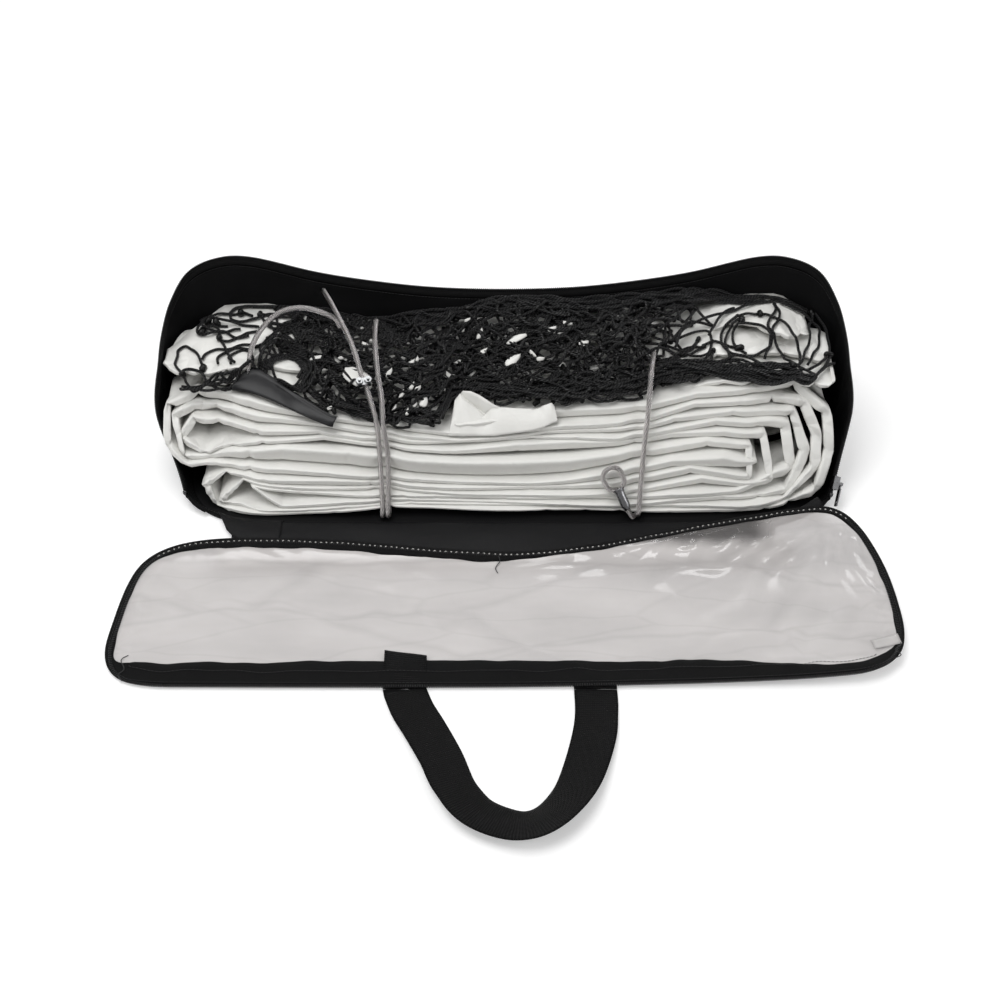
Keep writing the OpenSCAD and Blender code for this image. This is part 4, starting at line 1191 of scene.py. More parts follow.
SLACK, ZIP_THICK, CHAIN_THICK, TOOTH_PITCH = 0.3, 0.8, 2.4, 2.1
zip_outer = -FABRIC - 2.5 * SLACK
zip_inner = zip_outer - ZIP_THICK
zip_middle = (zip_inner + zip_outer) / 2
span = slice(WALL_STEPS, STATIONS - WALL_STEPS)
coil_middle = wall_rim - CHAIN_WIDTH / 2 * wall_up + zip_middle * wall_out
rim_teeth = teeth_row("wall_zip_coil", coil_middle[span], wall_up[span], wall_out[span],
                      TOOTH_PITCH, CHAIN_WIDTH, CHAIN_THICK)
dress(ring_mesh("wall_zip_cord", tube_rings(coil_middle[span], 1.15, 6)), black_trim,
      "black_trim", "bag")
dress(rim_teeth, zip_teeth, "zip_teeth", "bag", "wall_zip_chain")

tape_steps = [(low - CHAIN_WIDTH, zip_outer) for low in (-ZIP_TAPE - 0.8, -2.5, 0.9)]
tape_steps += [(low, zip_inner) for low, _ in tape_steps[::-1]]
tape_rows = np.stack([wall_rim + low * wall_up + off * wall_out for low, off in tape_steps],
                     axis=1)[WALL_STEPS - 4:STATIONS - WALL_STEPS + 4]
dress(ring_mesh("wall_zip_tape_woven", tape_rows), black_trim, "black_trim", "bag",
      "wall_zip_tape")
# A small metal stop is pressed over the coil at both ends of the row
for n, at_end in enumerate((WALL_STEPS, STATIONS - 1 - WALL_STEPS)):
    turn = np.radians(np.arange(16) * 22.5)
    oval = np.stack([np.cos(turn), np.sin(turn)], axis=1)
    oval = np.sign(oval) * np.abs(oval) ** 0.6 * (2.5, 1.9)
    stop_rings = [coil_middle[at_end] + rim_way[at_end] * s
                  + grow * (oval[:, :1] * wall_up[at_end] + oval[:, 1:] * wall_out[at_end])
                  for s, grow in ((-1.3, 0.8), (-1.0, 1), (1.0, 1), (1.3, 0.8))]
    dress(ring_mesh("zip_stop_%d" % (n + 1), stop_rings), zip_metal, "zip_metal", "bag",
          "zip_stops")
print("rim teeth:", len(rim_teeth.data.vertices) // TOOTH_POINTS)

# %% [markdown]
# The wall's top edge is turned over and sewn to the zip tape. The turned edge is a soft
# roll along the rim, and the stitches are short lengths of thread that dip into it.

# %% Turned edge of the wall and its stitches
def stitch_row(name, line, outs, pitch, length, radius, finish, body):
    """Short raised threads, one after another along a line."""
    lengths = run_length(line)
    points, faces = [], []
    for n, s in enumerate(np.arange(pitch, lengths[-1] - pitch, pitch)):
        middle = at_lengths(s + np.linspace(-0.5, 0.5, 5) * length, lengths, line)
        rise = np.array([-0.9, 0.25, 0.55, 0.25, -0.9]) * radius
        middle += rise[:, None] * unit(at_lengths(s, lengths, outs))
        rings = tube_rings(middle, np.array([0.75, 1, 1, 1, 0.75]) * radius, 5)
        points.append(rings.reshape(-1, 3))
        base = n * 25
        faces += [tuple(range(base + 4, base - 1, -1)), tuple(range(base + 20, base + 25)),
                  *tube_faces(5, 5, base)]
    return dress(new_piece(name, np.vstack(points) * MM, faces), finish, "black_trim", body)


roll_line = wall_top - 0.4 * wall_up - FABRIC / 2 * wall_out
dress(ring_mesh("wall_turned_edge", tube_rings(roll_line, 1.25, 8)), bag_fabric,
      "bag_fabric", "bag")
stitch_row("wall_edge_stitches", wall_top - 3.2 * wall_up - (FABRIC + 0.2) * wall_out,
           -wall_out, 3.4, 2.5, 0.28, black_thread, "bag")
print("rim sewn")

# %% [markdown]
# ## The foot tape
#
# The net's bottom edge has a white tape too. It goes back and forth behind the head
# tape, and its last folds lie on top, under the black netting, with their faces up.
# The same strip helper makes it. Only the place of its front edge and its width change
# from layer to layer. Where a bend would come through the bag's wall, it is pressed
# back against it.

# %% The foot tape's line
FOOT_COUNT, FOOT_TURN = 7, 14
WALL_CLEAR = 2.0


def head_top(x):
    """Top of the white stack. Left of the flap its top layer is missing."""
    first, _ = layer_edges(1, x)
    second, _ = layer_edges(2, x)
    return second + (first - second) * smooth((x - FLAP_X + 4) / 30)


def foot_z(k, x):
    plain = 4 + k * 9.0 + 0 * x
    rise = [0, 0, 0, 0, 1.5, 7.0, 15.0][k] + 3.0 * ripple(np.stack([x, 0 * x + 40 * k], 1),
                                                           150, 70 + k)
    dip = 8 * bell(x, 165, 30) + 4 * bell(x, -60, 60)
    return plain if k < 4 else np.maximum(head_top(x) + rise - dip, plain)


FOOT_TIPS = {0: 284, 1: -284, 2: 284, 3: -300, 4: 329, 5: -334}
foot_runs = []
for k in range(FOOT_COUNT):
    side = 1 if k % 2 == 0 else -1
    start = -270 if k == 0 else FOOT_TIPS[k - 1] + FOOT_TURN * side
    stop = 303 if k == FOOT_COUNT - 1 else FOOT_TIPS[k] - FOOT_TURN * side
    x = np.linspace(start, stop, 230)
    foot_runs.append(np.stack([x, foot_z(k, x), 0 * x + k], 1))
    if k < FOOT_COUNT - 1:
        a = np.linspace(0, np.pi, 26)[1:-1]
        z1, z2 = (foot_z(m, np.array([stop]))[0] for m in (k, k + 1))
        foot_runs.append(np.stack([stop + side * FOOT_TURN * np.sin(a),
                                   (z1 + z2) / 2 - (z2 - z1) / 2 * np.cos(a),
                                   k + a / np.pi], 1))
foot_line = np.vstack(foot_runs)
x, z, level = foot_line.T
plain_front = -HALF_Y + 3 + 70 + 3.6 + z
tops = np.interp(level, [3, 3.4, 4, 5, 6], [62, 40, 14, 47, 84])
end = smooth((x - 235) / 40) * (level > 5)
tops = tops - 22 * end
free_front = np.minimum(tops + 5 * ripple(np.stack([x, 30 * level], 1), 160, 33), 92)
front = np.where(level > 3, free_front, plain_front)
left = smooth((-222 - x) / 34) * np.clip((level - 5) * 3, 0, 1)
blunt = smooth((x - 278) / 26) * (level > 5.5)
front = front + 12 * blunt
front += left * (np.interp(x, [-336, -320, -300, -250], [44, 26, 22, 28]) - front)
wide = np.interp(level, [3, 4], [38, 48]) + 24 * end - 34 * blunt \
    - 18 * bell(x, -128, 45) * (level > 5)
wide += left * (np.interp(x, [-336, -320, -302, -285], [18, 56, 82, 108]) - wide)
wide = np.clip(wide, 14, 134 - front)
z = z - 7 * blunt - 4 * left
foot_line = np.stack([x, z, level], 1)
foot_length = run_length(foot_line[:, :2])
crumple = np.clip(smooth((np.abs(x) - 150) / 90), 0.35, 1) * (0.4 + 0.6 * (level > 3))
foot_line, *foot_corner = cornered(foot_line, crumple * (level > 3), 78, (12, 24), (30, 70))
foot_tape = tape_mesh("foot_tape_ribbon", foot_line, foot_length, 0 * x + 4.6, front, wide,
                      1.2, 1500, crumple, foot_corner, reach=48.0)
dress(foot_tape, white_vinyl, "white_vinyl", "bag", "foot_tape")
# Points that would come through the wall are pushed back inside it
wall_tree = KDTree(inner.shape[0] * inner.shape[1])
for n, point in enumerate(inner.reshape(-1, 3)):
    wall_tree.insert(point, n)
wall_tree.balance()
for vertex in foot_tape.data.vertices:
    if vertex.co.y > 0.03:
        place, n, _ = wall_tree.find(vertex.co / MM)
        way = Vector(wall_out[n // inner.shape[1]])
        over = (vertex.co / MM - place).dot(way) + WALL_CLEAR
        if over > 0:
            vertex.co -= way * over * MM
print("foot tape:", round(foot_length[-1] / 1000, 2), "m in", FOOT_COUNT, "layers")

# %% [markdown]
# ## The netting
#
# The net is knotted from black twisted twine in square meshes 100 mm wide. Bundled up,
# its meshes collapse: the knots crowd together, and the 100 mm of twine between two
# knots has to bow out to one side. That is how the loops come about, so they are made
# that way. A grid of knots is crowded onto the top of the folded tapes, and each
# length of twine leaves one knot, bows out and comes back to the next. A few such
# layers lie on each other in the middle and only one or two at the ends. A cloth
# simulation of a thousand meshes would take minutes and tangle no better.

# %% Where the netting lies
NET_EDGE_X = [-325, -305, -281, -262, -248, -235, -210, -169, -155, -120, -100, -60, -52,
              -34, -20, -8, -4, 46, 79, 113, 133, 157, 182, 211, 234, 258, 284, 325]
NET_EDGE_Y = [6, 8, 10, 16, 40, 36, 19, -9, -12, -17, -14, -19, 17,
              18, 13, 7, 4, 1, 2, 7, 13, 17, 22, 21, 13, 5, 13, 40]


def net_front(x):
    """Front edge of the bundle, behind the flap and the side strip."""
    return np.interp(x, NET_EDGE_X, NET_EDGE_Y)


# A grid on the floor plan: size of a cell, place of its corner, number of cells
CELL, GRID_X, GRID_Y = 4.0, -360, -90
CELLS_X, CELLS_Y = 180, 60


def cover_heights(piece):
    """Highest point of a tape's mesh over each cell of the grid."""
    points = np.array([v.co[:] for v in piece.data.vertices]).reshape(-1, SECTION, 3) / MM
    upper = points[:, :SECTION // 2 + 1]
    dense = np.concatenate([upper[:, :-1] + (upper[:, 1:] - upper[:, :-1]) * s
                            for s in np.linspace(0, 1, 12)], axis=1).reshape(-1, 3)
    dense = np.vstack([dense, points.reshape(-1, 3)])
    heights = np.zeros((CELLS_X, CELLS_Y))
    i = np.clip(((dense[:, 0] - GRID_X) / CELL).astype(int), 0, CELLS_X - 1)
    j = np.clip(((dense[:, 1] - GRID_Y) / CELL).astype(int), 0, CELLS_Y - 1)
    np.maximum.at(heights, (i, j), dense[:, 2])
    return heights


tape_cover = np.pad(np.maximum(cover_heights(head_tape), cover_heights(foot_tape)), 1,
                    mode="edge")
tape_cover = np.max([tape_cover[a:a + CELLS_X, b:b + CELLS_Y]
                     for a in range(3) for b in range(3)], axis=0)


def over_tapes(x, y):
    """Height of the tapes under a place, so that the twine can lie on them."""
    u = np.clip((x - GRID_X) / CELL - 0.5, 0, CELLS_X - 1.1)
    v = np.clip((y - GRID_Y) / CELL - 0.5, 0, CELLS_Y - 1.1)
    i, j = u.astype(int), v.astype(int)
    a, b = u - i, v - j
    return ((1 - a) * (1 - b) * tape_cover[i, j] + a * (1 - b) * tape_cover[i + 1, j]
            + (1 - a) * b * tape_cover[i, j + 1] + a * b * tape_cover[i + 1, j + 1])


BUNDLE_ENDS = -328, 327


def net_back(x, z):
    return HALF_Y - 5 + (0.60 - 0.12 * (x / 300) ** 2) * z \
        - 13 * (np.maximum(0, np.abs(x) - 250) / 60) ** 2


def net_height(x, y):
    """Height of the bundle's top over the tapes."""
    base = head_top(x)
    thick = 24 - 15 * smooth((np.abs(x) - 120) / 160) - 7 * bell(x, -128, 38)
    front = net_front(x)
    share = np.clip((y - front) / 110, -0.1, 1.15)
    swell = 0.30 + 0.70 * smooth(share)
    lumps = 3.2 * ripple(np.stack([x, y], -1), 95, 81) * smooth(share * 3)
    tied = 8 * bell(x, -115, 15) + 4 * bell(x, 135, 13)
    return base + thick * swell + lumps - tied * (1 - smooth((y - 4) / 40))


def settle(points, lift):
    """Puts points at their height on the bundle and keeps them inside the bag."""
    x = np.clip(points[:, 0], *BUNDLE_ENDS)
    y = np.maximum(points[:, 1], net_front(x) - 4 + 2.5 * ripple(x[:, None], 40, 83))
    height = net_height(x, y)
    y = y - np.maximum(0, y - (net_back(x, height) - 4))
    least = over_tapes(x, y) + 0.6 + np.maximum(points[:, 2] * 0.4 + 0.3 * lift, 0)
    return np.stack([x, y, np.maximum(points[:, 2] + height + lift, least)], axis=1)


# %% [markdown]
# Each length of twine is a smooth curve through five points: out of its knot, round
# its bow and into the next knot. All of them are tubes with six sides, and their UV
# maps carry the twist of the three strands.

# %% Lengths of twine between the knots
TWINE_RADIUS = 1.45
MESH_SIDE = 100.0


def twine_between(a, b, rng, lift, tightness):
    gap = b - a
    spare = max(0.0, MESH_SIDE * tightness - np.linalg.norm(gap[:2]))
    way = unit(gap[:2] + 1e-6)
    across = np.array([-way[1], way[0]])
    bow = 0.42 * spare * rng.uniform(0.6, 1.1) * rng.choice([-1, 1])
    lean = 0.3 * spare * rng.uniform(-1, 1)
    swing = 0.16 * spare * rng.uniform(-1, 1)
    keys = [a]
    for s in (0.25, 0.5, 0.75):
        flat = a[:2] + gap[:2] * s + across * (bow * math.sin(math.pi * s)
                                              + swing * math.sin(2 * math.pi * s)) \
            + way * lean * math.sin(math.pi * s)
        hump = rng.uniform(0.5, 4.5) * math.sin(math.pi * s)
        keys.append(np.array([flat[0], flat[1], a[2] + (b[2] - a[2]) * s + hump]))
    keys.append(b)
    return settle(spline(keys, 5), lift)


def knot_grid(x_low, x_high, rows, step, rng):
    columns = int((x_high - x_low) / step)
    grid = np.empty((columns + 1, rows, 3))
    for i in range(columns + 1):
        x = x_low + (x_high - x_low) * i / columns + rng.uniform(-0.28, 0.28, rows) * step
        share = (np.arange(rows) + 0.4 * (i % 2) + rng.uniform(-0.3, 0.3, rows)) / rows
        front = net_front(x)
        grid[i, :, 0] = x
        grid[i, :, 1] = front + (132 - front) * np.clip(share + 0.04, 0, 1)
        grid[i, :, 2] = rng.uniform(-1.5, 1.5, rows)
    return grid


def netting_layer(x_low, x_high, rows, step, lift, tightness, seed):
    rng = np.random.default_rng(seed)
    grid = knot_grid(x_low, x_high, rows, step, rng)
    lines = []
    for i in range(len(grid) - 1):
        for j in range(rows):
            for beside in (j, j + 1 if i % 2 else j - 1):
                if 0 <= beside < rows:
                    lines.append(twine_between(grid[i, j], grid[i + 1, beside], rng, lift,
                                               tightness))
    return lines, settle(grid.reshape(-1, 3), lift + 0.4)


def bundle(y_share, x_low, x_high, lift, seed, sway):
    """A long run of gathered twine along the bag."""
    x = np.linspace(x_low, x_high, int((x_high - x_low) / 5))
    front = net_front(x)
    y = front + (134 - front) * y_share + sway * ripple(x[:, None], 85, seed)
    z = 1.5 * ripple(x[:, None], 50, seed + 1)
    return settle(np.stack([x, y, z], 1), lift)


net_lines, net_knots = [], []
for layer in ((-240, 200, 5, 30, 0.5, 0.8, 3), (-232, 190, 5, 28, -5.0, 0.72, 4),
              (-226, 160, 5, 25, -2.5, 0.62, 5), (-220, 150, 6, 24, 1.0, 0.54, 6),
              (-214, 140, 6, 25, 4.0, 0.5, 7)):
    lines, knots = netting_layer(*layer)
    net_lines.append(lines)
    net_knots.append(knots)
long_runs = []
for n in range(44):
    rng = np.random.default_rng(700 + n)
    rear = n % 2 == 0
    share = rng.uniform(0.86, 1.04) if rear else rng.uniform(0.0, 0.16)
    low = rng.uniform(-290, 100) if rear else rng.uniform(-232, 170)
    high = min(low + rng.uniform(150, 330), 306 if rear else 290)
    long_runs.append(bundle(share, low, high, rng.uniform(-1, 6), 300 + 7 * n,
                            rng.uniform(3, 8)))
for n in range(14):
    rng = np.random.default_rng(800 + n)
    low = rng.uniform(-240, 20)
    long_runs.append(bundle(rng.uniform(0.2, 0.8), low, low + rng.uniform(90, 200),
                            rng.uniform(2, 6), 500 + 7 * n, rng.uniform(8, 16)))

# %% [markdown]
# At both ends the netting opens up, and single lengths of twine lie on the white tape in
# wide loops. Each of them is set one by one. At the left they swing out of the bundle and
# back into it, and round a gap several turns lie side by side. At the right they cross over
# each other between a front and a rear run of gathered twine.

# %% Open loops at the ends
LEFT_LOOPS = [
    [[-291, 28], [-298, 43], [-308, 59], [-315, 65], [-322, 57], [-322, 43], [-319, 30],
     [-311, 18], [-301, 7], [-293, 9]],
    [[-296, 41], [-292, 50], [-282, 57], [-272, 59], [-263, 63], [-249, 65]],
    [[-279, 33], [-280, 46], [-274, 54], [-262, 58], [-248, 57]],
    [[-254, 78], [-267, 75], [-280, 84], [-297, 78], [-305, 82], [-306, 91], [-298, 100],
     [-286, 99], [-274, 95], [-258, 94], [-244, 91]],
    [[-304, 82], [-298, 89], [-286, 92], [-277, 94]],
    [[-306, 100], [-299, 107], [-287, 111], [-275, 112], [-263, 115], [-252, 109]],
    [[-278, 111], [-272, 119], [-264, 122], [-255, 125], [-247, 129]],
    [[-277, 111], [-274, 103], [-264, 100], [-252, 103], [-239, 112], [-226, 113]],
    [[-293, 98], [-286, 86], [-283, 75], [-276, 62], [-269, 46], [-266, 33]],
    [[-284, 73], [-272, 71], [-262, 77], [-256, 84], [-247, 86]],
    [[-304, 101], [-301, 93], [-291, 87], [-278, 84], [-263, 87]],
    [[-313, 20], [-307, 26], [-297, 23], [-289, 15], [-299, 0], [-306, -5], [-313, 5]],
    [[-263, 36], [-269, 46], [-258, 57], [-249, 46], [-252, 25], [-261, 20]]]
RIGHT_LOOPS = [
    [[232, 98], [221, 84], [216, 63], [223, 48], [238, 45], [254, 51], [263, 63], [260, 75],
     [248, 82], [233, 84], [228, 72], [229, 60], [238, 50]],
    [[232, 96], [243, 99], [259, 97], [273, 87], [284, 69], [291, 48], [286, 34], [276, 45],
     [266, 63], [262, 78], [271, 98], [271, 114]],
    [[272, 112], [276, 98], [268, 78], [262, 57], [256, 42]],
    [[306, 118], [311, 106], [305, 87], [300, 63], [294, 42], [281, 31]],
    [[310, 116], [318, 98], [322, 78], [320, 54], [312, 37], [298, 30], [285, 32]],
    [[320, 48], [310, 25], [294, 11], [275, 14], [260, 7], [245, 8], [233, 17], [225, 31]],
    [[203, 72], [212, 92], [220, 104], [232, 110]],
    [[196, 63], [210, 66], [224, 60], [235, 57]],
    [[279, 116], [292, 110], [305, 100], [315, 84], [310, 60], [295, 37]],
    [[225, 31], [219, 48], [220, 72], [231, 90], [239, 92]],
    [[168, 63], [181, 84], [197, 94], [213, 100], [232, 108], [252, 114]]]
FRONT_RUN = [[170, 40], [198, 34], [226, 31], [254, 29], [281, 25], [302, 14], [319, 6]]
REAR_RUN = [[150, 122], [183, 126], [214, 128], [246, 128], [273, 130], [301, 128]]
LEFT_RUN = [[-312, 4], [-293, 10], [-274, 12], [-258, 18], [-246, 24]]
LOOP_KNOTS = [[-297, 98], [-288, 96], [-301, 84], [-266, 112], [-283, 75], [-312, 20],
              [-293, 28], [237, 90], [256, 98], [232, 57], [320, 50], [311, 118], [282, 34]]


def laid_twine(keys, lift, seed, sway=1.2):
    keys = np.array(keys, float)
    line = spline(np.column_stack([keys, 0 * keys[:, 0]]), 6)
    line[:, :2] += sway * np.stack([ripple(line[:, :2], 30, seed),
                                    ripple(line[:, :2], 30, seed + 1)], 1)
    line[:, 2] = 1.2 * (1 + ripple(line[:, :2], 24, seed + 2))
    return settle(line, lift)


open_loops = [laid_twine(keys, 0.8 + 0.9 * (n % 4), 900 + 3 * n)
              for n, keys in enumerate(LEFT_LOOPS + RIGHT_LOOPS)]
rng = np.random.default_rng(23)
for run, count, spread, side in ((FRONT_RUN, 12, 10.0, (0.2, 1)),
                                 (REAR_RUN, 11, 8.0, (0.1, 1)),
                                 (LEFT_RUN, 7, 7.0, (0.35, 1))):
    for n in range(count):
        keys = np.array(run, float)[rng.integers(0, 2):len(run) - rng.integers(0, 2)]
        push = spread * rng.uniform(-1, 1)
        keys = keys + np.array(side) * push + rng.uniform(-2.5, 2.5, keys.shape)
        open_loops.append(laid_twine(keys, rng.uniform(0, 4),
                                     1000 + 5 * len(open_loops), 2.2))
# Turns of twine round the gap, each a little wider than the one before
GAP, GAP_LONG = np.array([-214.0, 38.0]), 1.32
for n in range(8):
    a = np.radians(np.linspace(0, 318, 30) + rng.uniform(0, 360))
    wide = 13.5 + 1.9 * n
    keys = np.stack([GAP[0] + wide * np.cos(a) + rng.uniform(-2, 2),
                     GAP[1] + GAP_LONG * wide * np.sin(a) + rng.uniform(-2, 2)], 1)
    open_loops.append(laid_twine(keys, 0.7 * n, 1400 + 3 * n))
loop_knots = settle(np.array([[x, y, 1.5] for x, y in LOOP_KNOTS], float), 2.0)
net_knots.append(loop_knots)
print("open loops:", len(open_loops))

# %% The twine as meshes
def twine_mesh(name, lines):
    """All the lengths of twine of one piece, as tubes in one mesh."""
    points, faces, uv = [], [], []
    base = 0
    girth = np.linspace(0, 2 * math.pi * TWINE_RADIUS * MM, 7)
    for line in lines:
        n = len(line)
        along = run_length(line) * MM
        points.append(tube_rings(line, TWINE_RADIUS, 6).reshape(-1, 3) * MM)
        faces += [*tube_faces(n, 6, base), tuple(range(base + 5, base - 1, -1)),
                  tuple(range(base + n * 6 - 6, base + n * 6))]
        uv += [[(girth[j], along[i]), (girth[j + 1], along[i]),
                (girth[j + 1], along[i + 1]), (girth[j], along[i + 1])]
               for i in range(n - 1) for j in range(6)]
        uv += [[(0, 0)] * 6] * 2
        base += n * 6
    return new_piece(name, np.vstack(points), faces, uv)


def from_gap(points):
    return np.linalg.norm((points[:, :2] - GAP) / (1, GAP_LONG), axis=1)


def clear_of_gap(lines):
    return [line for line in lines if (from_gap(line) > 12.5).all()]


net_lines = [clear_of_gap(lines) for lines in net_lines]
long_runs = clear_of_gap(long_runs)
net_knots = [k[from_gap(k) > 16] for k in net_knots]
groups = {"netting_outer": net_lines[0] + net_lines[4] + long_runs + open_loops,
          "netting_inner": net_lines[1] + net_lines[2] + net_lines[3]}
for name, lines in groups.items():
    netting = twine_mesh(name, lines)
    dress(netting, net_twine, "net_twine", "bag", "net_mesh")
    metres = sum(run_length(line)[-1] for line in lines) / 1000
    print(name, len(lines), "lengths,", round(metres, 1), "m,", len(netting.data.polygons),
          "faces")

# %% [markdown]
# A knot is where two twines are tied round each other. At this size it reads as a
# small lump with a groove round it, so one lump is shaped from a small sphere, longer
# than wide and pinched in the middle, and copied to every knot, each turned its own way.

# %% Knots
bpy.ops.object.select_all(action="DESELECT")
bpy.ops.mesh.primitive_uv_sphere_add(segments=8, ring_count=6, radius=1.0)
lump = bpy.context.object
lump_points = np.array([v.co[:] for v in lump.data.vertices])
pinch = 1 - 0.22 * np.exp(-(lump_points[:, 2:] / 0.35) ** 2)
lump_points = lump_points * np.hstack([pinch, pinch, np.ones_like(pinch)]) * (2.9, 2.5, 3.7)
lump_faces = [tuple(p.vertices) for p in lump.data.polygons]
bpy.data.objects.remove(lump)
rng = np.random.default_rng(12)
grid_knots = sum(len(k) for k in net_knots[:-1])
knot_points, knot_faces = [], []
for n, place_of_knot in enumerate(np.vstack(net_knots)):
    turn, _ = np.linalg.qr(rng.normal(size=(3, 3)))
    turn *= np.sign(np.linalg.det(turn))
    grow = 1.45 if n >= grid_knots else 1.0
    knot_points.append(place_of_knot
                       + grow * lump_points @ turn.T * rng.uniform(0.85, 1.15))
    knot_faces += [tuple(n * len(lump_points) + i for i in f) for f in lump_faces]
dress(new_piece("netting_knots", np.vstack(knot_points) * MM, knot_faces), net_twine,
      "net_twine", "bag")
print("knots:", len(knot_points))

# %% [markdown]
# ## The side strip
#
# A charcoal coated strip stiffens the net's side edge. Its end lies on the white stack
# at the left, turned over along one edge and cut off at a slant.

# %% Side strip
strip_top = spline([[-262, 14, 92], [-256, 30, 93], [-245, 39, 93], [-230, 31, 90],
                    [-209, 17, 84], [-189, 2, 81], [-168, -13, 78], [-160, -16, 77]], 5)
strip_low = spline([[-264, 9, 89.5], [-250, 8, 89], [-233, 2, 87], [-214, -6, 83],
                    [-199, -12, 78.5], [-184, -19, 76], [-170, -25, 74],
                    [-165, -26, 73.5]], 5)
strip_rings = []
for high_edge, low_edge in zip(strip_top, strip_low):
    out = unit(np.cross([1.0, -0.6, 0], high_edge - low_edge))
    row = np.array([low_edge + (high_edge - low_edge) * s
                    + out * (2.6 * math.sin(math.pi * s) ** 0.8 + 2.2 * bell(s, 0.86, 0.1))
                    for s in np.linspace(0, 1, 13)])
    strip_rings.append(np.vstack([row, (row - out * 1.3)[::-1]]))
side_strip = ring_mesh("side_strip_end", strip_rings)
dress(side_strip, charcoal_vinyl, "charcoal_vinyl", "bag", "side_strip")

# %% [markdown]
# Here and there a fold of the white tape comes up between the twine. The largest one
# is beside the cable clip. Each is a small leaf of coated fabric.

# %% Leaves of white tape in the netting
# Place, half length, half width, direction in degrees and lift
LEAVES = [[-143, 30, 17, 10, -40, 4.5], [-113, 36, 5.5, 2.2, 60, 5],
          [-186, 58, 7, 3.5, 20, 3], [-139, 85, 5, 2, -20, 3],
          [-100, 14, 4.5, 2.2, 65, 4], [-107, 3, 3.5, 1.6, 60, 4],
          [-94, -6, 4.5, 2, 80, 4], [-90, 21, 4, 1.8, 60, 4], [-84, 19, 3.5, 1.8, 35, 4],
          [-78, 6, 6, 3.6, 70, 4], [-87, 3, 3.5, 2, 55, 4], [-86, 56, 4, 1.6, 85, 4],
          [-91, 53, 4, 2.4, 50, 3], [-45, 70, 8, 4, 35, 3], [-54, 45, 5, 4.4, 10, 3],
          [-24, 92, 6, 2.6, 70, 3], [-21, 70, 5, 3, 30, 3], [-35, 112, 5, 2, 0, 3],
          [-60, 22, 4, 2, 60, 3], [13, 76, 12, 4, 20, 5], [9, 50, 9, 4.5, 35, 4.5],
          [48, 86, 5, 3, 30, 4], [64, 95, 5, 2.6, -20, 4], [79, 65, 5, 3, 10, 4],
          [36, 49, 4, 2, 0, 4], [28, 56, 6, 1.6, -50, 4], [-240, 28, 5, 7, 10, 3],
          [-168, -7, 4, 1.8, 40, 3], [-160, 60, 5, 2, 30, 3]]


def leaf(cx, cy, long, wide, turn, lift):
    """A leaf-shaped piece of tape, with a ridge along its middle."""
    along, across = heading(turn)
    u = np.linspace(-1, 1, 7)
    rings = []
    for s in np.linspace(-1, 1, 11):
        half = wide * math.sqrt(max(0.02, 1 - abs(s) ** 2.4)) * (1 - 0.25 * s)
        x, y = ((cx, cy) + long * s * along + half * u[:, None] * across).T
        row = np.stack([x, y, net_height(x, y) + lift + 0.8 + 1.6 * (1 - np.abs(u))], 1)
        rings.append(np.vstack([row, (row - (0, 0, 1.1))[::-1]]))
    return rings


bpy.ops.object.select_all(action="DESELECT")
for keys in LEAVES:
    leaves = ring_mesh("white_tape_leaves", leaf(*keys))
    leaves.select_set(True)
    bpy.context.view_layer.objects.active = leaves
bpy.ops.object.join()
leaves.name = "white_tape_leaves"
dress(leaves, white_vinyl, "white_vinyl", "bag")

# %% [markdown]
# ## The front panel
#
# With the lid open, the bag's front panel lies on the ground in three folds, like a Z.
# Each third is a soft sheet with a rounded edge that rides on its own body, so that it
# stands up with the others when the bag is closed.

# %% Front panel in three thirds
PANEL_EDGE_Y, HINGE_Y, BACK_FOLD_Y = -85.3, -127.3, -86.3
PANEL_HALF = 261.0


def panel_sheet(third, y_low, y_high, z_low, z_high, wave, seed):
    share = np.array([0, 0.02, 0.12, 0.3, 0.5, 0.7, 0.88, 0.98, 1.0])
    round_edge = np.sqrt(np.clip(1 - (2 * share - 1) ** 8, 0, 1))
    rings = []
    for xi in np.linspace(-PANEL_HALF, PANEL_HALF, 110):
        corner = 34 if xi > 0 else 22
        over = max(0.0, abs(xi) - (PANEL_HALF - corner)) / corner
        drawn_in = (1 - math.sqrt(max(0.0, 1 - over ** 2))) * corner * 0.9
        y = y_low + drawn_in + (y_high - y_low - drawn_in) * share
        sway = wave * (1 + ripple(np.stack([xi + 0 * y, y * 2.5], 1), 90, seed)) / 2
        sway = sway * np.sin(np.pi * share) ** 0.5
        middle, half = (z_low + z_high) / 2, (z_high - z_low) / 2
        top = np.stack([xi + 0 * y, y, middle + half * round_edge + sway], 1)
        low = np.stack([xi + 0 * y, y, middle - half * round_edge + sway * 0.4], 1)
        rings.append(np.vstack([top, low[::-1][1:-1]]))
    piece = ring_mesh("front_panel_%s_third" % third, rings)
    dress(piece, gusset_fabric, "gusset_fabric", "front_panel_" + third, "panel_" + third)


panel_sheet("lower", HINGE_Y - 0.5, PANEL_EDGE_Y + 0.25, 0.05, 0.95, 0.0, 1)
panel_sheet("middle", HINGE_Y - 0.5, BACK_FOLD_Y + 0.5, 1.35, 2.25, 0.0, 2)
panel_sheet("upper", HINGE_Y - 0.1, BACK_FOLD_Y + 0.5, 2.65, 3.6, 1.6, 3)
print("front panel in three thirds")

# %% [markdown]
# ## The lid
#
# The lid is a sheet of clear film in a black frame: a band along its front, a binding round
# its sides and back, and the other half of the zip all round. It isn't flat. It was packed
# folded, so the film has wrinkles, its right rear corner rides up on the bag's wall, and
# its rear edge swings back at both ends, where it is sewn to the bag's corners. One closed
# line gives the lid's edge. All the lid's pieces are bands at a set distance inside that
# line.

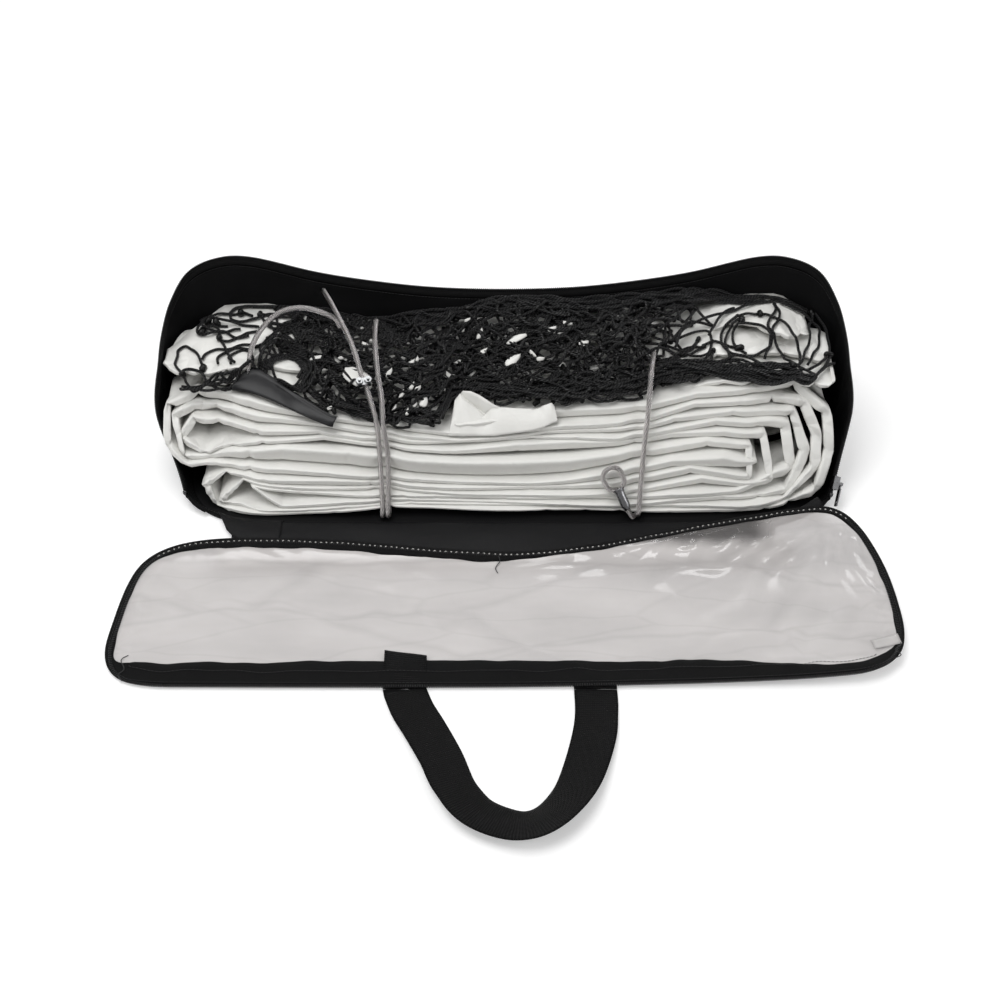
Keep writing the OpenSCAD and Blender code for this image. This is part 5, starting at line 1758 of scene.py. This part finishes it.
# %% The lid's edge
LID_KEYS = [[-300, -287.8, 1.8], [-150, -288.3, 1.8], [0, -288, 1.8], [110, -286.5, 2.8],
            [210, -284.5, 5], [285, -281.5, 8], [330, -275, 10], [354, -256, 10],
            [363, -228, 8.5], [364, -192, 6.5], [361, -156, 6], [354, -126, 7.5],
            [343, -101, 11.5], [327, -84, 16.5], [305, -76.5, 18], [270, -79, 15.5],
            [210, -88, 11], [150, -101, 8.5], [90, -115, 7], [20, -125, 6.3],
            [-60, -121, 6], [-150, -110.5, 5.6], [-235, -106.5, 5.2], [-286, -109, 4.6],
            [-320, -119, 4], [-342, -138, 3.4], [-353, -167, 2.8], [-359, -212, 2.2],
            [-360.5, -246, 1.8], [-352, -270, 1.8], [-333, -284, 1.8]]
closed = spline(LID_KEYS + LID_KEYS[:1], 12)
closed_length = run_length(closed)
EDGE_COUNT = 420
even = np.linspace(0, closed_length[-1], EDGE_COUNT, endpoint=False)
lid_edge = at_lengths(even, closed_length, closed)
ahead = unit(np.roll(lid_edge, -1, axis=0) - np.roll(lid_edge, 1, axis=0))
lid_in = unit(np.stack([-ahead[:, 1], ahead[:, 0], 0 * ahead[:, 0]], axis=1))
# The lid's hinge: its two bodies and the two ends of the few millimetres that it spans
LID_HINGE = ("lid", "front_panel_upper", (0, -0.1315, 0.003), (0, -0.1235, 0.003))
print("lid edge:", round(closed_length[-1]), "mm round")

# Larger folds: place, direction in degrees, half length, half width and height
LID_FOLDS = [(66, -150, 3, 62, 9, 2.2), (150, -126, 48, 20, 5, 2.4),
             (186, -121, 62, 20, 5, 2.6), (222, -112, 55, 30, 6, 3.0),
             (268, -96, 70, 14, 4, 2.2), (290, -98, 80, 12, 4, 2.0),
             (306, -142, 26, 26, 8, 2.4), (-322, -150, 60, 14, 6, 1.6)]


def lid_wrinkles(x, y):
    """Height of the lid's sheet, with its wrinkles."""
    xy = np.stack([x, y], -1)
    right_rise = 9 * smooth((x - 60) / 260) * smooth((y + 150) / 70)
    front_rise = 5 * smooth((x - 60) / 230) * smooth((-230 - y) / 60)
    rear = smooth((y + 150) / 30)
    base = 3.3 + 2.2 * rear + right_rise + front_rise
    fold = 1.5 * ripple(xy * (1, 1.8), 150, 91) + 0.8 * ripple(xy * (1.4, 1), 60, 92)
    slant = xy @ unit([0.62, 0.78]) + 6 * ripple(xy, 160, 93)
    ridge = sum(high * bell(slant, place, wide) for high, place, wide in
                ((1.1, -172, 4.5), (0.8, -205, 5), (0.8, -52, 5), (0.6, -120, 3)))
    folds = 0 * x
    for px, py, turn, long, wide, high in LID_FOLDS:
        along, across = heading(turn)
        away = xy - (px, py)
        folds = folds + high * bell(away @ along, 0, long) * bell(away @ across, 0, wide)
    fan_x, fan_y = x - 330, y + 60
    fan = np.arctan2(fan_y, -fan_x)
    reach = np.hypot(fan_x, fan_y)
    pull = smooth((reach - 15) / 40) * smooth((330 - reach) / 190) * smooth((x - 40) / 90)
    pulled = 2.4 * pull * np.abs(np.sin(fan * 17 + 1.3 * ripple(xy, 90, 99))) ** 1.5
    crumple = (1.5 * np.abs(ripple(xy, 34, 94)) + 0.8 * np.abs(ripple(xy, 15, 95))) \
        * np.clip(rear + smooth((np.abs(x) - 318) / 30), 0, 1)
    return base + np.maximum(fold * 0.6, -1.0) + ridge + crumple + pulled + folds


def lid_level(x, y):
    """The wrinkled sheet, calm near its sewn edge, where it has the edge's height."""
    apart = np.linalg.norm(np.stack([x, y], 1)[:, None] - lid_edge[None, :, :2], axis=2)
    weight = 1 / (apart ** 2 + 4) ** 2
    edge_z = (weight @ lid_edge[:, 2]) / weight.sum(axis=1)
    calm = smooth((apart.min(axis=1) - 7) / 16)
    return edge_z + (lid_wrinkles(x, y) - edge_z) * calm


def on_lid(line, lift=0.0):
    """Lays a line or a row of points on the lid's sheet, or a little above it."""
    return np.column_stack([line[:, :2], lid_level(line[:, 0], line[:, 1]) + lift])


def inset_line(distances):
    return lid_edge + lid_in * np.broadcast_to(distances, (EDGE_COUNT,))[:, None]


# %% [markdown]
# The film is filled in between the front half and the rear half of an inset line, row by
# row. It gets a thickness with a Solidify modifier. It crosses the hinge between the lid
# and the front panel, and it stays fixed where it lies, on neither body.

# %% Clear film
def halves(line):
    """Front and rear halves of a closed line, both from left to right."""
    left, right = int(np.argmin(line[:, 0])), int(np.argmax(line[:, 0]))
    line = np.roll(line, -left, axis=0)
    right = (right - left) % len(line)
    for half in (line[:right + 1], np.vstack([line[:1], line[:right - 1:-1]])):
        length = run_length(half)
        yield at_lengths(length[-1] * np.linspace(0, 1, 150), length, half)


FILM_INSET, FILM_THICK = 7.5, 0.5
front_half, rear_half = halves(inset_line(FILM_INSET))
film_rows = [on_lid(front_half + (rear_half - front_half) * s)[1:-1]
             for s in np.linspace(0.0, 1.0, 56)]
film_sheet = ring_mesh("lid_film", film_rows, closed=False)
only(film_sheet)
thickness = film_sheet.modifiers.new("thickness", "SOLIDIFY")
thickness.thickness, thickness.offset = FILM_THICK * MM, 0
bpy.ops.object.modifier_apply(modifier="thickness")
dress(film_sheet, clear_film, "clear_film", LID_HINGE, "lid_window")
x, y, _ = np.array([v.co[:] for v in film_sheet.data.vertices]).T / MM
# The film's opacity is painted shade: clear over the front panel, so that the dark panel
# shows, and nearly opaque in a band just in front of the panel's edge, as a soft painted
# shadow.
over_panel = smooth((y + 127) / 16) * smooth((PANEL_HALF - np.abs(x)) / 26)
painted_shade_alpha = 0.45 + 0.45 * bell(y, -131, 15) * smooth((PANEL_HALF + 24 - np.abs(x)) / 30)
mesh_numbers(film_sheet, "painted_shade_alpha", painted_shade_alpha - (painted_shade_alpha - 0.10) * over_panel)
gloss = 0.12 + 0.88 * smooth((x + 40) / 120) * smooth((y + 190) / 40)
mesh_numbers(film_sheet, "gloss", np.maximum(gloss, 0.8 * smooth((y + 142) / 10)))
print("film has", len(film_sheet.data.polygons), "faces")

# %% [markdown]
# The black frame is a flat band folded over the film's edge. Its width changes round
# the lid: 26 mm along the front and about 9 mm elsewhere.

# %% Black band and bindings
def frame_band(name, nodes, widths, thick, start, wobble, seed, rise=0.0):
    """A closed band at a set distance inside the lid's edge, with thin sewn edges."""
    uneven = wobble * ripple(lid_edge[:, :2], 40, seed)
    top, low = [], []
    for share, high in zip((0, 0.03, 0.2, 0.5, 0.8, 0.97, 1.0), (0, 0.8, 1, 1, 1, 0.8, 0)):
        line = on_lid(inset_line(start + (widths + uneven * share) * share),
                      rise + high * thick)
        top.append(line)
        low.append(np.column_stack([line[:, :2],
                                    np.maximum(line[:, 2] - 2 * high * thick, 0.1)]))
    rings = np.stack(top + low[-2:0:-1], axis=1)
    piece = ring_mesh(name, np.concatenate([rings, rings[:1]]), caps=False)
    only(piece)
    bpy.ops.object.mode_set(mode="EDIT")
    bpy.ops.mesh.select_all(action="SELECT")
    bpy.ops.mesh.remove_doubles(threshold=0.00001)
    bpy.ops.object.mode_set(mode="OBJECT")
    return dress(piece, black_trim, "black_trim", LID_HINGE, *nodes)


# Share of the front band and of the rear binding at each place of the edge
front_share = smooth((lid_in[:, 1] - 0.45) / 0.35) * (lid_edge[:, 1] < -225)
rear_share = smooth((-lid_in[:, 1] - 0.5) / 0.3) * (lid_edge[:, 1] > -150)
x = lid_edge[:, 0]
rear_left = rear_share * smooth((40 - x) / 60) * smooth((x + 325) / 40)
front_wide = 14.0 + 6 * bell(x, -60, 230) - 9 * smooth((x - 190) / 90)
band_width = 7.0 + front_wide * front_share + 1.0 * rear_share + 5.0 * rear_left
band_width = blurred(band_width, np.hanning(13), "wrap")
lid_band = frame_band("lid_black_band", ("lid_front_band", "lid_side_binding",
                                         "lid_hinge_binding"), band_width, 0.75,
                      start=3.0, wobble=0.7, seed=96, rise=0.35)
frame_band("lid_zip_tape_woven", ("lid_zip_tape",), 5.0, 0.45, start=2.2, wobble=0.2,
           seed=97)
print("black frame round the lid")

# %% Zip teeth of the lid
up_z = np.tile([0, 0, 1.0], (EDGE_COUNT + 1, 1))
teeth_inset = 1.7 + 6.8 * (1 - blurred(front_share, np.ones(21), "wrap"))
teeth_line = on_lid(inset_line(teeth_inset), 1.1)
ring = np.r_[0:EDGE_COUNT, 0]
lid_teeth = teeth_row("lid_zip_coil", teeth_line[ring], -lid_in[ring], up_z, TOOTH_PITCH,
                      3.2, 2.0)
dress(lid_teeth, zip_teeth, "zip_teeth", LID_HINGE, "lid_zip_chain")
print("lid teeth:", len(lid_teeth.data.vertices) // TOOTH_POINTS)

# %% [markdown]
# White lock stitches show along the rear binding, where the film is sewn in. Only every
# other stitch comes up through the band, so from a distance they are a dotted line. The
# white dots also stand in for the glints of the zip's teeth there, as painted highlights.

# %% Stitches of the lid
def lid_stitches(name, where, distance, wobble, pitch, length, radius, finish, body):
    line = on_lid(inset_line(distance + wobble * ripple(lid_edge[:, :2], 45, 98)), 1.25)
    rows = np.flatnonzero(where)
    breaks = np.flatnonzero(np.diff(rows) > 1)
    if len(breaks):
        rows = np.concatenate([rows[breaks[0] + 1:], rows[:breaks[0] + 1]])
    stitch_row(name, line[rows], up_z[rows], pitch, length, radius, finish, body)


lid_stitches("lid_rear_stitches", rear_share > 0.4, FILM_INSET, 0.3, 5.2, 2.0, 0.62,
             white_thread, LID_HINGE)
lid_stitches("lid_side_stitches", rear_share < 0.4, 5.6, 0, 3.6, 2.6, 0.3, black_thread,
             LID_HINGE)
lid_stitches("lid_front_stitches", front_share > 0.8, 17.5, 1.0, 3.6, 2.6, 0.3,
             black_thread, "lid")

# %% [markdown]
# The sewing left a few loose thread ends, and a small clear tab sticks up at the right.

# %% Loose threads and the clear tab
def loose_thread(name, keys):
    line = spline(keys, 6)
    line = on_lid(line, line[:, 2])
    dress(ring_mesh(name, tube_rings(line, 0.45, 6)), black_thread, "black_trim", "lid")


loose_thread("loose_thread_left", [[-336, -252, .5], [-341, -259, 2], [-337, -268, 1.5],
                                   [-341, -275, 2.5], [-337, -281, 1.2]])
loose_thread("loose_thread_middle", [[-6, -133, .6], [-4, -141, 1.8], [-8, -148, 1],
                                     [-6, -154, .8]])
loose_thread("loose_thread_right", [[350, -238, .5], [354, -246, 2.2], [348, -252, 1.4],
                                    [352, -258, 1.2], [344, -262, .8]])
tab_rings = []
for s in np.linspace(0, 1, 9):
    row = np.array([[329 + 24 * s + 2 * t, -238 + 4 * s - 11 * t, 1.2 + 2.0 * s
                     + 0.9 * math.sin(3 * s + 2 * t)] for t in np.linspace(0, 1, 5)])
    row = on_lid(row, row[:, 2])
    tab_rings.append(np.vstack([row, (row - (0, 0, 0.5))[::-1]]))
clear_tab = ring_mesh("lid_clear_tab", tab_rings)
dress(clear_tab, tab_film, "clear_film", "lid")

# %% [markdown]
# The bag's wall doesn't stop at the front panel. At both ends a gusseted web of the
# same fabric fills the corner between the wall, the front panel and the lid's rear edge.

# %% Corner webs
PANEL_HINGE = ("bag", "front_panel_lower", (0, -0.084, 0), (0, -0.1, 0))


def corner_web(name, keys_low, keys_high):
    rows = []
    for p, q in zip(spline(keys_low, 6), spline(keys_high, 6)):
        row = np.array([p + (q - p) * t + (0, 0, 1.8 * math.sin(math.pi * t))
                        for t in np.linspace(0, 1, 9)])
        rows.append(np.vstack([row, (row - (0, 0, 0.9))[::-1]]))
    piece = dress(ring_mesh(name, rows), gusset_fabric, "gusset_fabric", PANEL_HINGE)


corner_web("corner_web_left",
           [[-214, -83.5, 3.9], [-240, -83, 4.4], [-262, -81, 6], [-277, -76, 8]],
           [[-214, -114, 4.4], [-238, -113, 4.4], [-256, -108, 4.4], [-267, -97, 4.6]])
corner_web("corner_web_right",
           [[240, -84, 6], [262, -82, 8], [284, -76, 12], [304, -64, 16]],
           [[240, -92, 8], [264, -86, 11], [288, -81, 14], [308, -76, 16.5]])
print("lid and corners done")

# %% [markdown]
# ## The carry handle
#
# The handle is one length of ribbed webbing, sewn under the lid's front band at both
# ends. Flat webbing can't bend in its own plane without buckling, so it twists: the
# outer edge lifts off the ground round the bend. The strip follows the same line as
# the solid, with a section that is thin at its woven edges.

# %% Webbing
WEBBING, WEB_THICK = 38.0, 1.3
LID_FRONT_Y = -288.3
STRAP = [[-88, 0, 0], [-80, -22, 2], [-68, -45, 4], [-54, -74, 7], [-42, -104, 10],
         [-24, -129, 13], [1, -142, 15], [21, -144, 20], [39, -135, 23],
         [56, -114, 20], [67, -88, 12], [77, -50, 5], [80, -22, 2], [80, 0, 0]]
strap_keys = spline(STRAP, 10)
strap_last = len(strap_keys) - 1
strap_rings = []
strap_length = run_length(strap_keys[:, :2])
for i, key in enumerate(strap_keys):
    # Both ends point straight into the lid
    if i in (0, strap_last):
        way = np.array([0, -1.0 if i == 0 else 1.0, 0])
    else:
        way = unit((strap_keys[i + 1] - strap_keys[i - 1]) * (1, 1, 0))
    outward = np.cross(way, [0, 0, 1])
    tilt = math.radians(max(0.0, key[2]))
    s = strap_length[i]
    waist = 1 + 0.012 * math.sin(s / 37) - 0.03 * bell(s, 118, 9) - 0.02 * bell(s, 330, 12)
    across = math.cos(tilt) * outward + np.array([0, 0, math.sin(tilt)])
    across = WEBBING / 2 * waist * across
    lift = unit(np.cross(across, way)) * WEB_THICK
    lift = lift * np.sign(lift[2])
    middle = np.array([key[0], LID_FRONT_Y - 0.6 + key[1], WEBBING / 2 * math.sin(tilt)])
    u = np.linspace(-1, 1, 13)
    half = (0.5 - 0.225 * np.abs(u) ** 14)[:, None]
    sag = 0.5 * np.sin(s / 24 + 2 * u) * (1 - np.abs(u)) \
        * math.sin(math.pi * s / strap_length[-1])
    upper = middle + across * u[:, None] + lift * (0.5 + half)
    upper[:, 2] += np.maximum(0, sag)
    lower = middle + across * u[:, None] + lift * (0.5 - half) + (0, 0, 0.02)
    strap_rings.append(np.vstack([upper, lower[::-1][1:-1]]))
dress(ring_mesh("handle_webbing", strap_rings), webbing, "webbing", "handle",
      "handle_strap")
print("webbing outside the lid:", round(strap_length[-1]), "mm")


# %% Sewn ends of the webbing under the band
def sewn_end(name, x_middle, y_high, slant, z_low, z_high):
    rows = []
    u = np.linspace(-1, 1, 9)
    for s in np.linspace(0, 1, 14):
        y = -288.2 + (y_high + slant * u + 288.2) * s
        z = z_low + (z_high - z_low) * s + 0.3 * np.sin(6 * s + 3 * u) + 0.6
        row = np.stack([x_middle + u * WEBBING / 2, y, z], axis=1)
        rows.append(np.vstack([row, row[::-1] - (0, 0, 1.2)]))
    dress(ring_mesh(name, rows), webbing, "webbing", "lid", "handle_ends")


sewn_end("handle_end_left", -88, -252, -3.2, 1.2, 6.4)
sewn_end("handle_end_right", 80, -268, 0, 1.0, 1.6)

# %% Metal of the zip
repaint(zip_metal, "zip_slider", "zip_pull")
print("handle and zip metal done")

# %% [markdown]
# ## Floor and light
#
# A plain white floor and soft studio light. The floor and the background read as white
# to the camera through their own colour, so the lamps can stay at a level at which a
# colour comes out as it is written, and the floor keeps the soft shadows.

# %% Floor, world and lamps
bpy.ops.object.select_all(action="DESELECT")
bpy.ops.mesh.primitive_plane_add(size=8, location=(0, 0, -0.0006))
floor = bpy.context.object
floor.name = "studio_floor"
floor_finish, tree, shader = start_finish("studio_floor", (0.8, 0.8, 0.8), 0.9,
                                          Specular_IOR_Level=0.1,
                                          Emission_Color=(1, 1, 1, 1))
seen = add_node(tree, "LightPath")["Is Camera Ray"]
feed(tree, shader.inputs["Emission Strength"], math_node(tree, "MULTIPLY", seen, 0.32))
floor.data.materials.append(floor_finish)

world = bpy.data.worlds.new("studio")
bpy.context.scene.world = world
world.use_nodes = True
tree = world.node_tree
background = tree.nodes["Background"]
background.inputs["Color"].default_value = (1, 1, 1, 1)
ray = add_node(tree, "LightPath")
seen = math_node(tree, "MAXIMUM", ray["Is Camera Ray"], ray["Is Transmission Ray"])
feed(tree, background.inputs["Strength"], between(tree, seen, 0.35, 1.0))


# Name, place, height aimed at, size and power
for name, place, aim, size, power in (
        ("key_above", (-0.5, 0.1, 1.9), 0.05, (1.6, 1.2), 22),
        ("fill_left", (-1.8, -0.9, 1.1), 0.05, (1.2, 1.0), 9),
        ("fill_right", (1.7, -0.8, 1.3), 0.05, (1.0, 1.0), 9),
        ("back_strip", (0.4, 1.4, 1.0), 0.08, (1.6, 0.4), 7)):
    data = bpy.data.lights.new(name, "AREA")
    data.shape = "RECTANGLE"
    data.size, data.size_y = size
    data.energy = power
    light = bpy.data.objects.new(name, data)
    bpy.context.scene.collection.objects.link(light)
    light.location = place
    way = Vector((0, 0, aim)) - Vector(place)
    light.rotation_euler = way.to_track_quat("-Z", "Y").to_euler()
bpy.context.scene.view_settings.view_transform = "Standard"
print("floor and lamps set")

# %% [markdown]
# ## Size
#
# The dressed model stays inside the imported model's box, apart from the little that fabric
# may stand proud. A small helper rounds a box's corners.

# %% A helper that rounds a box
def plain(box):
    return [[round(float(v), 5) for v in corner] for corner in box]
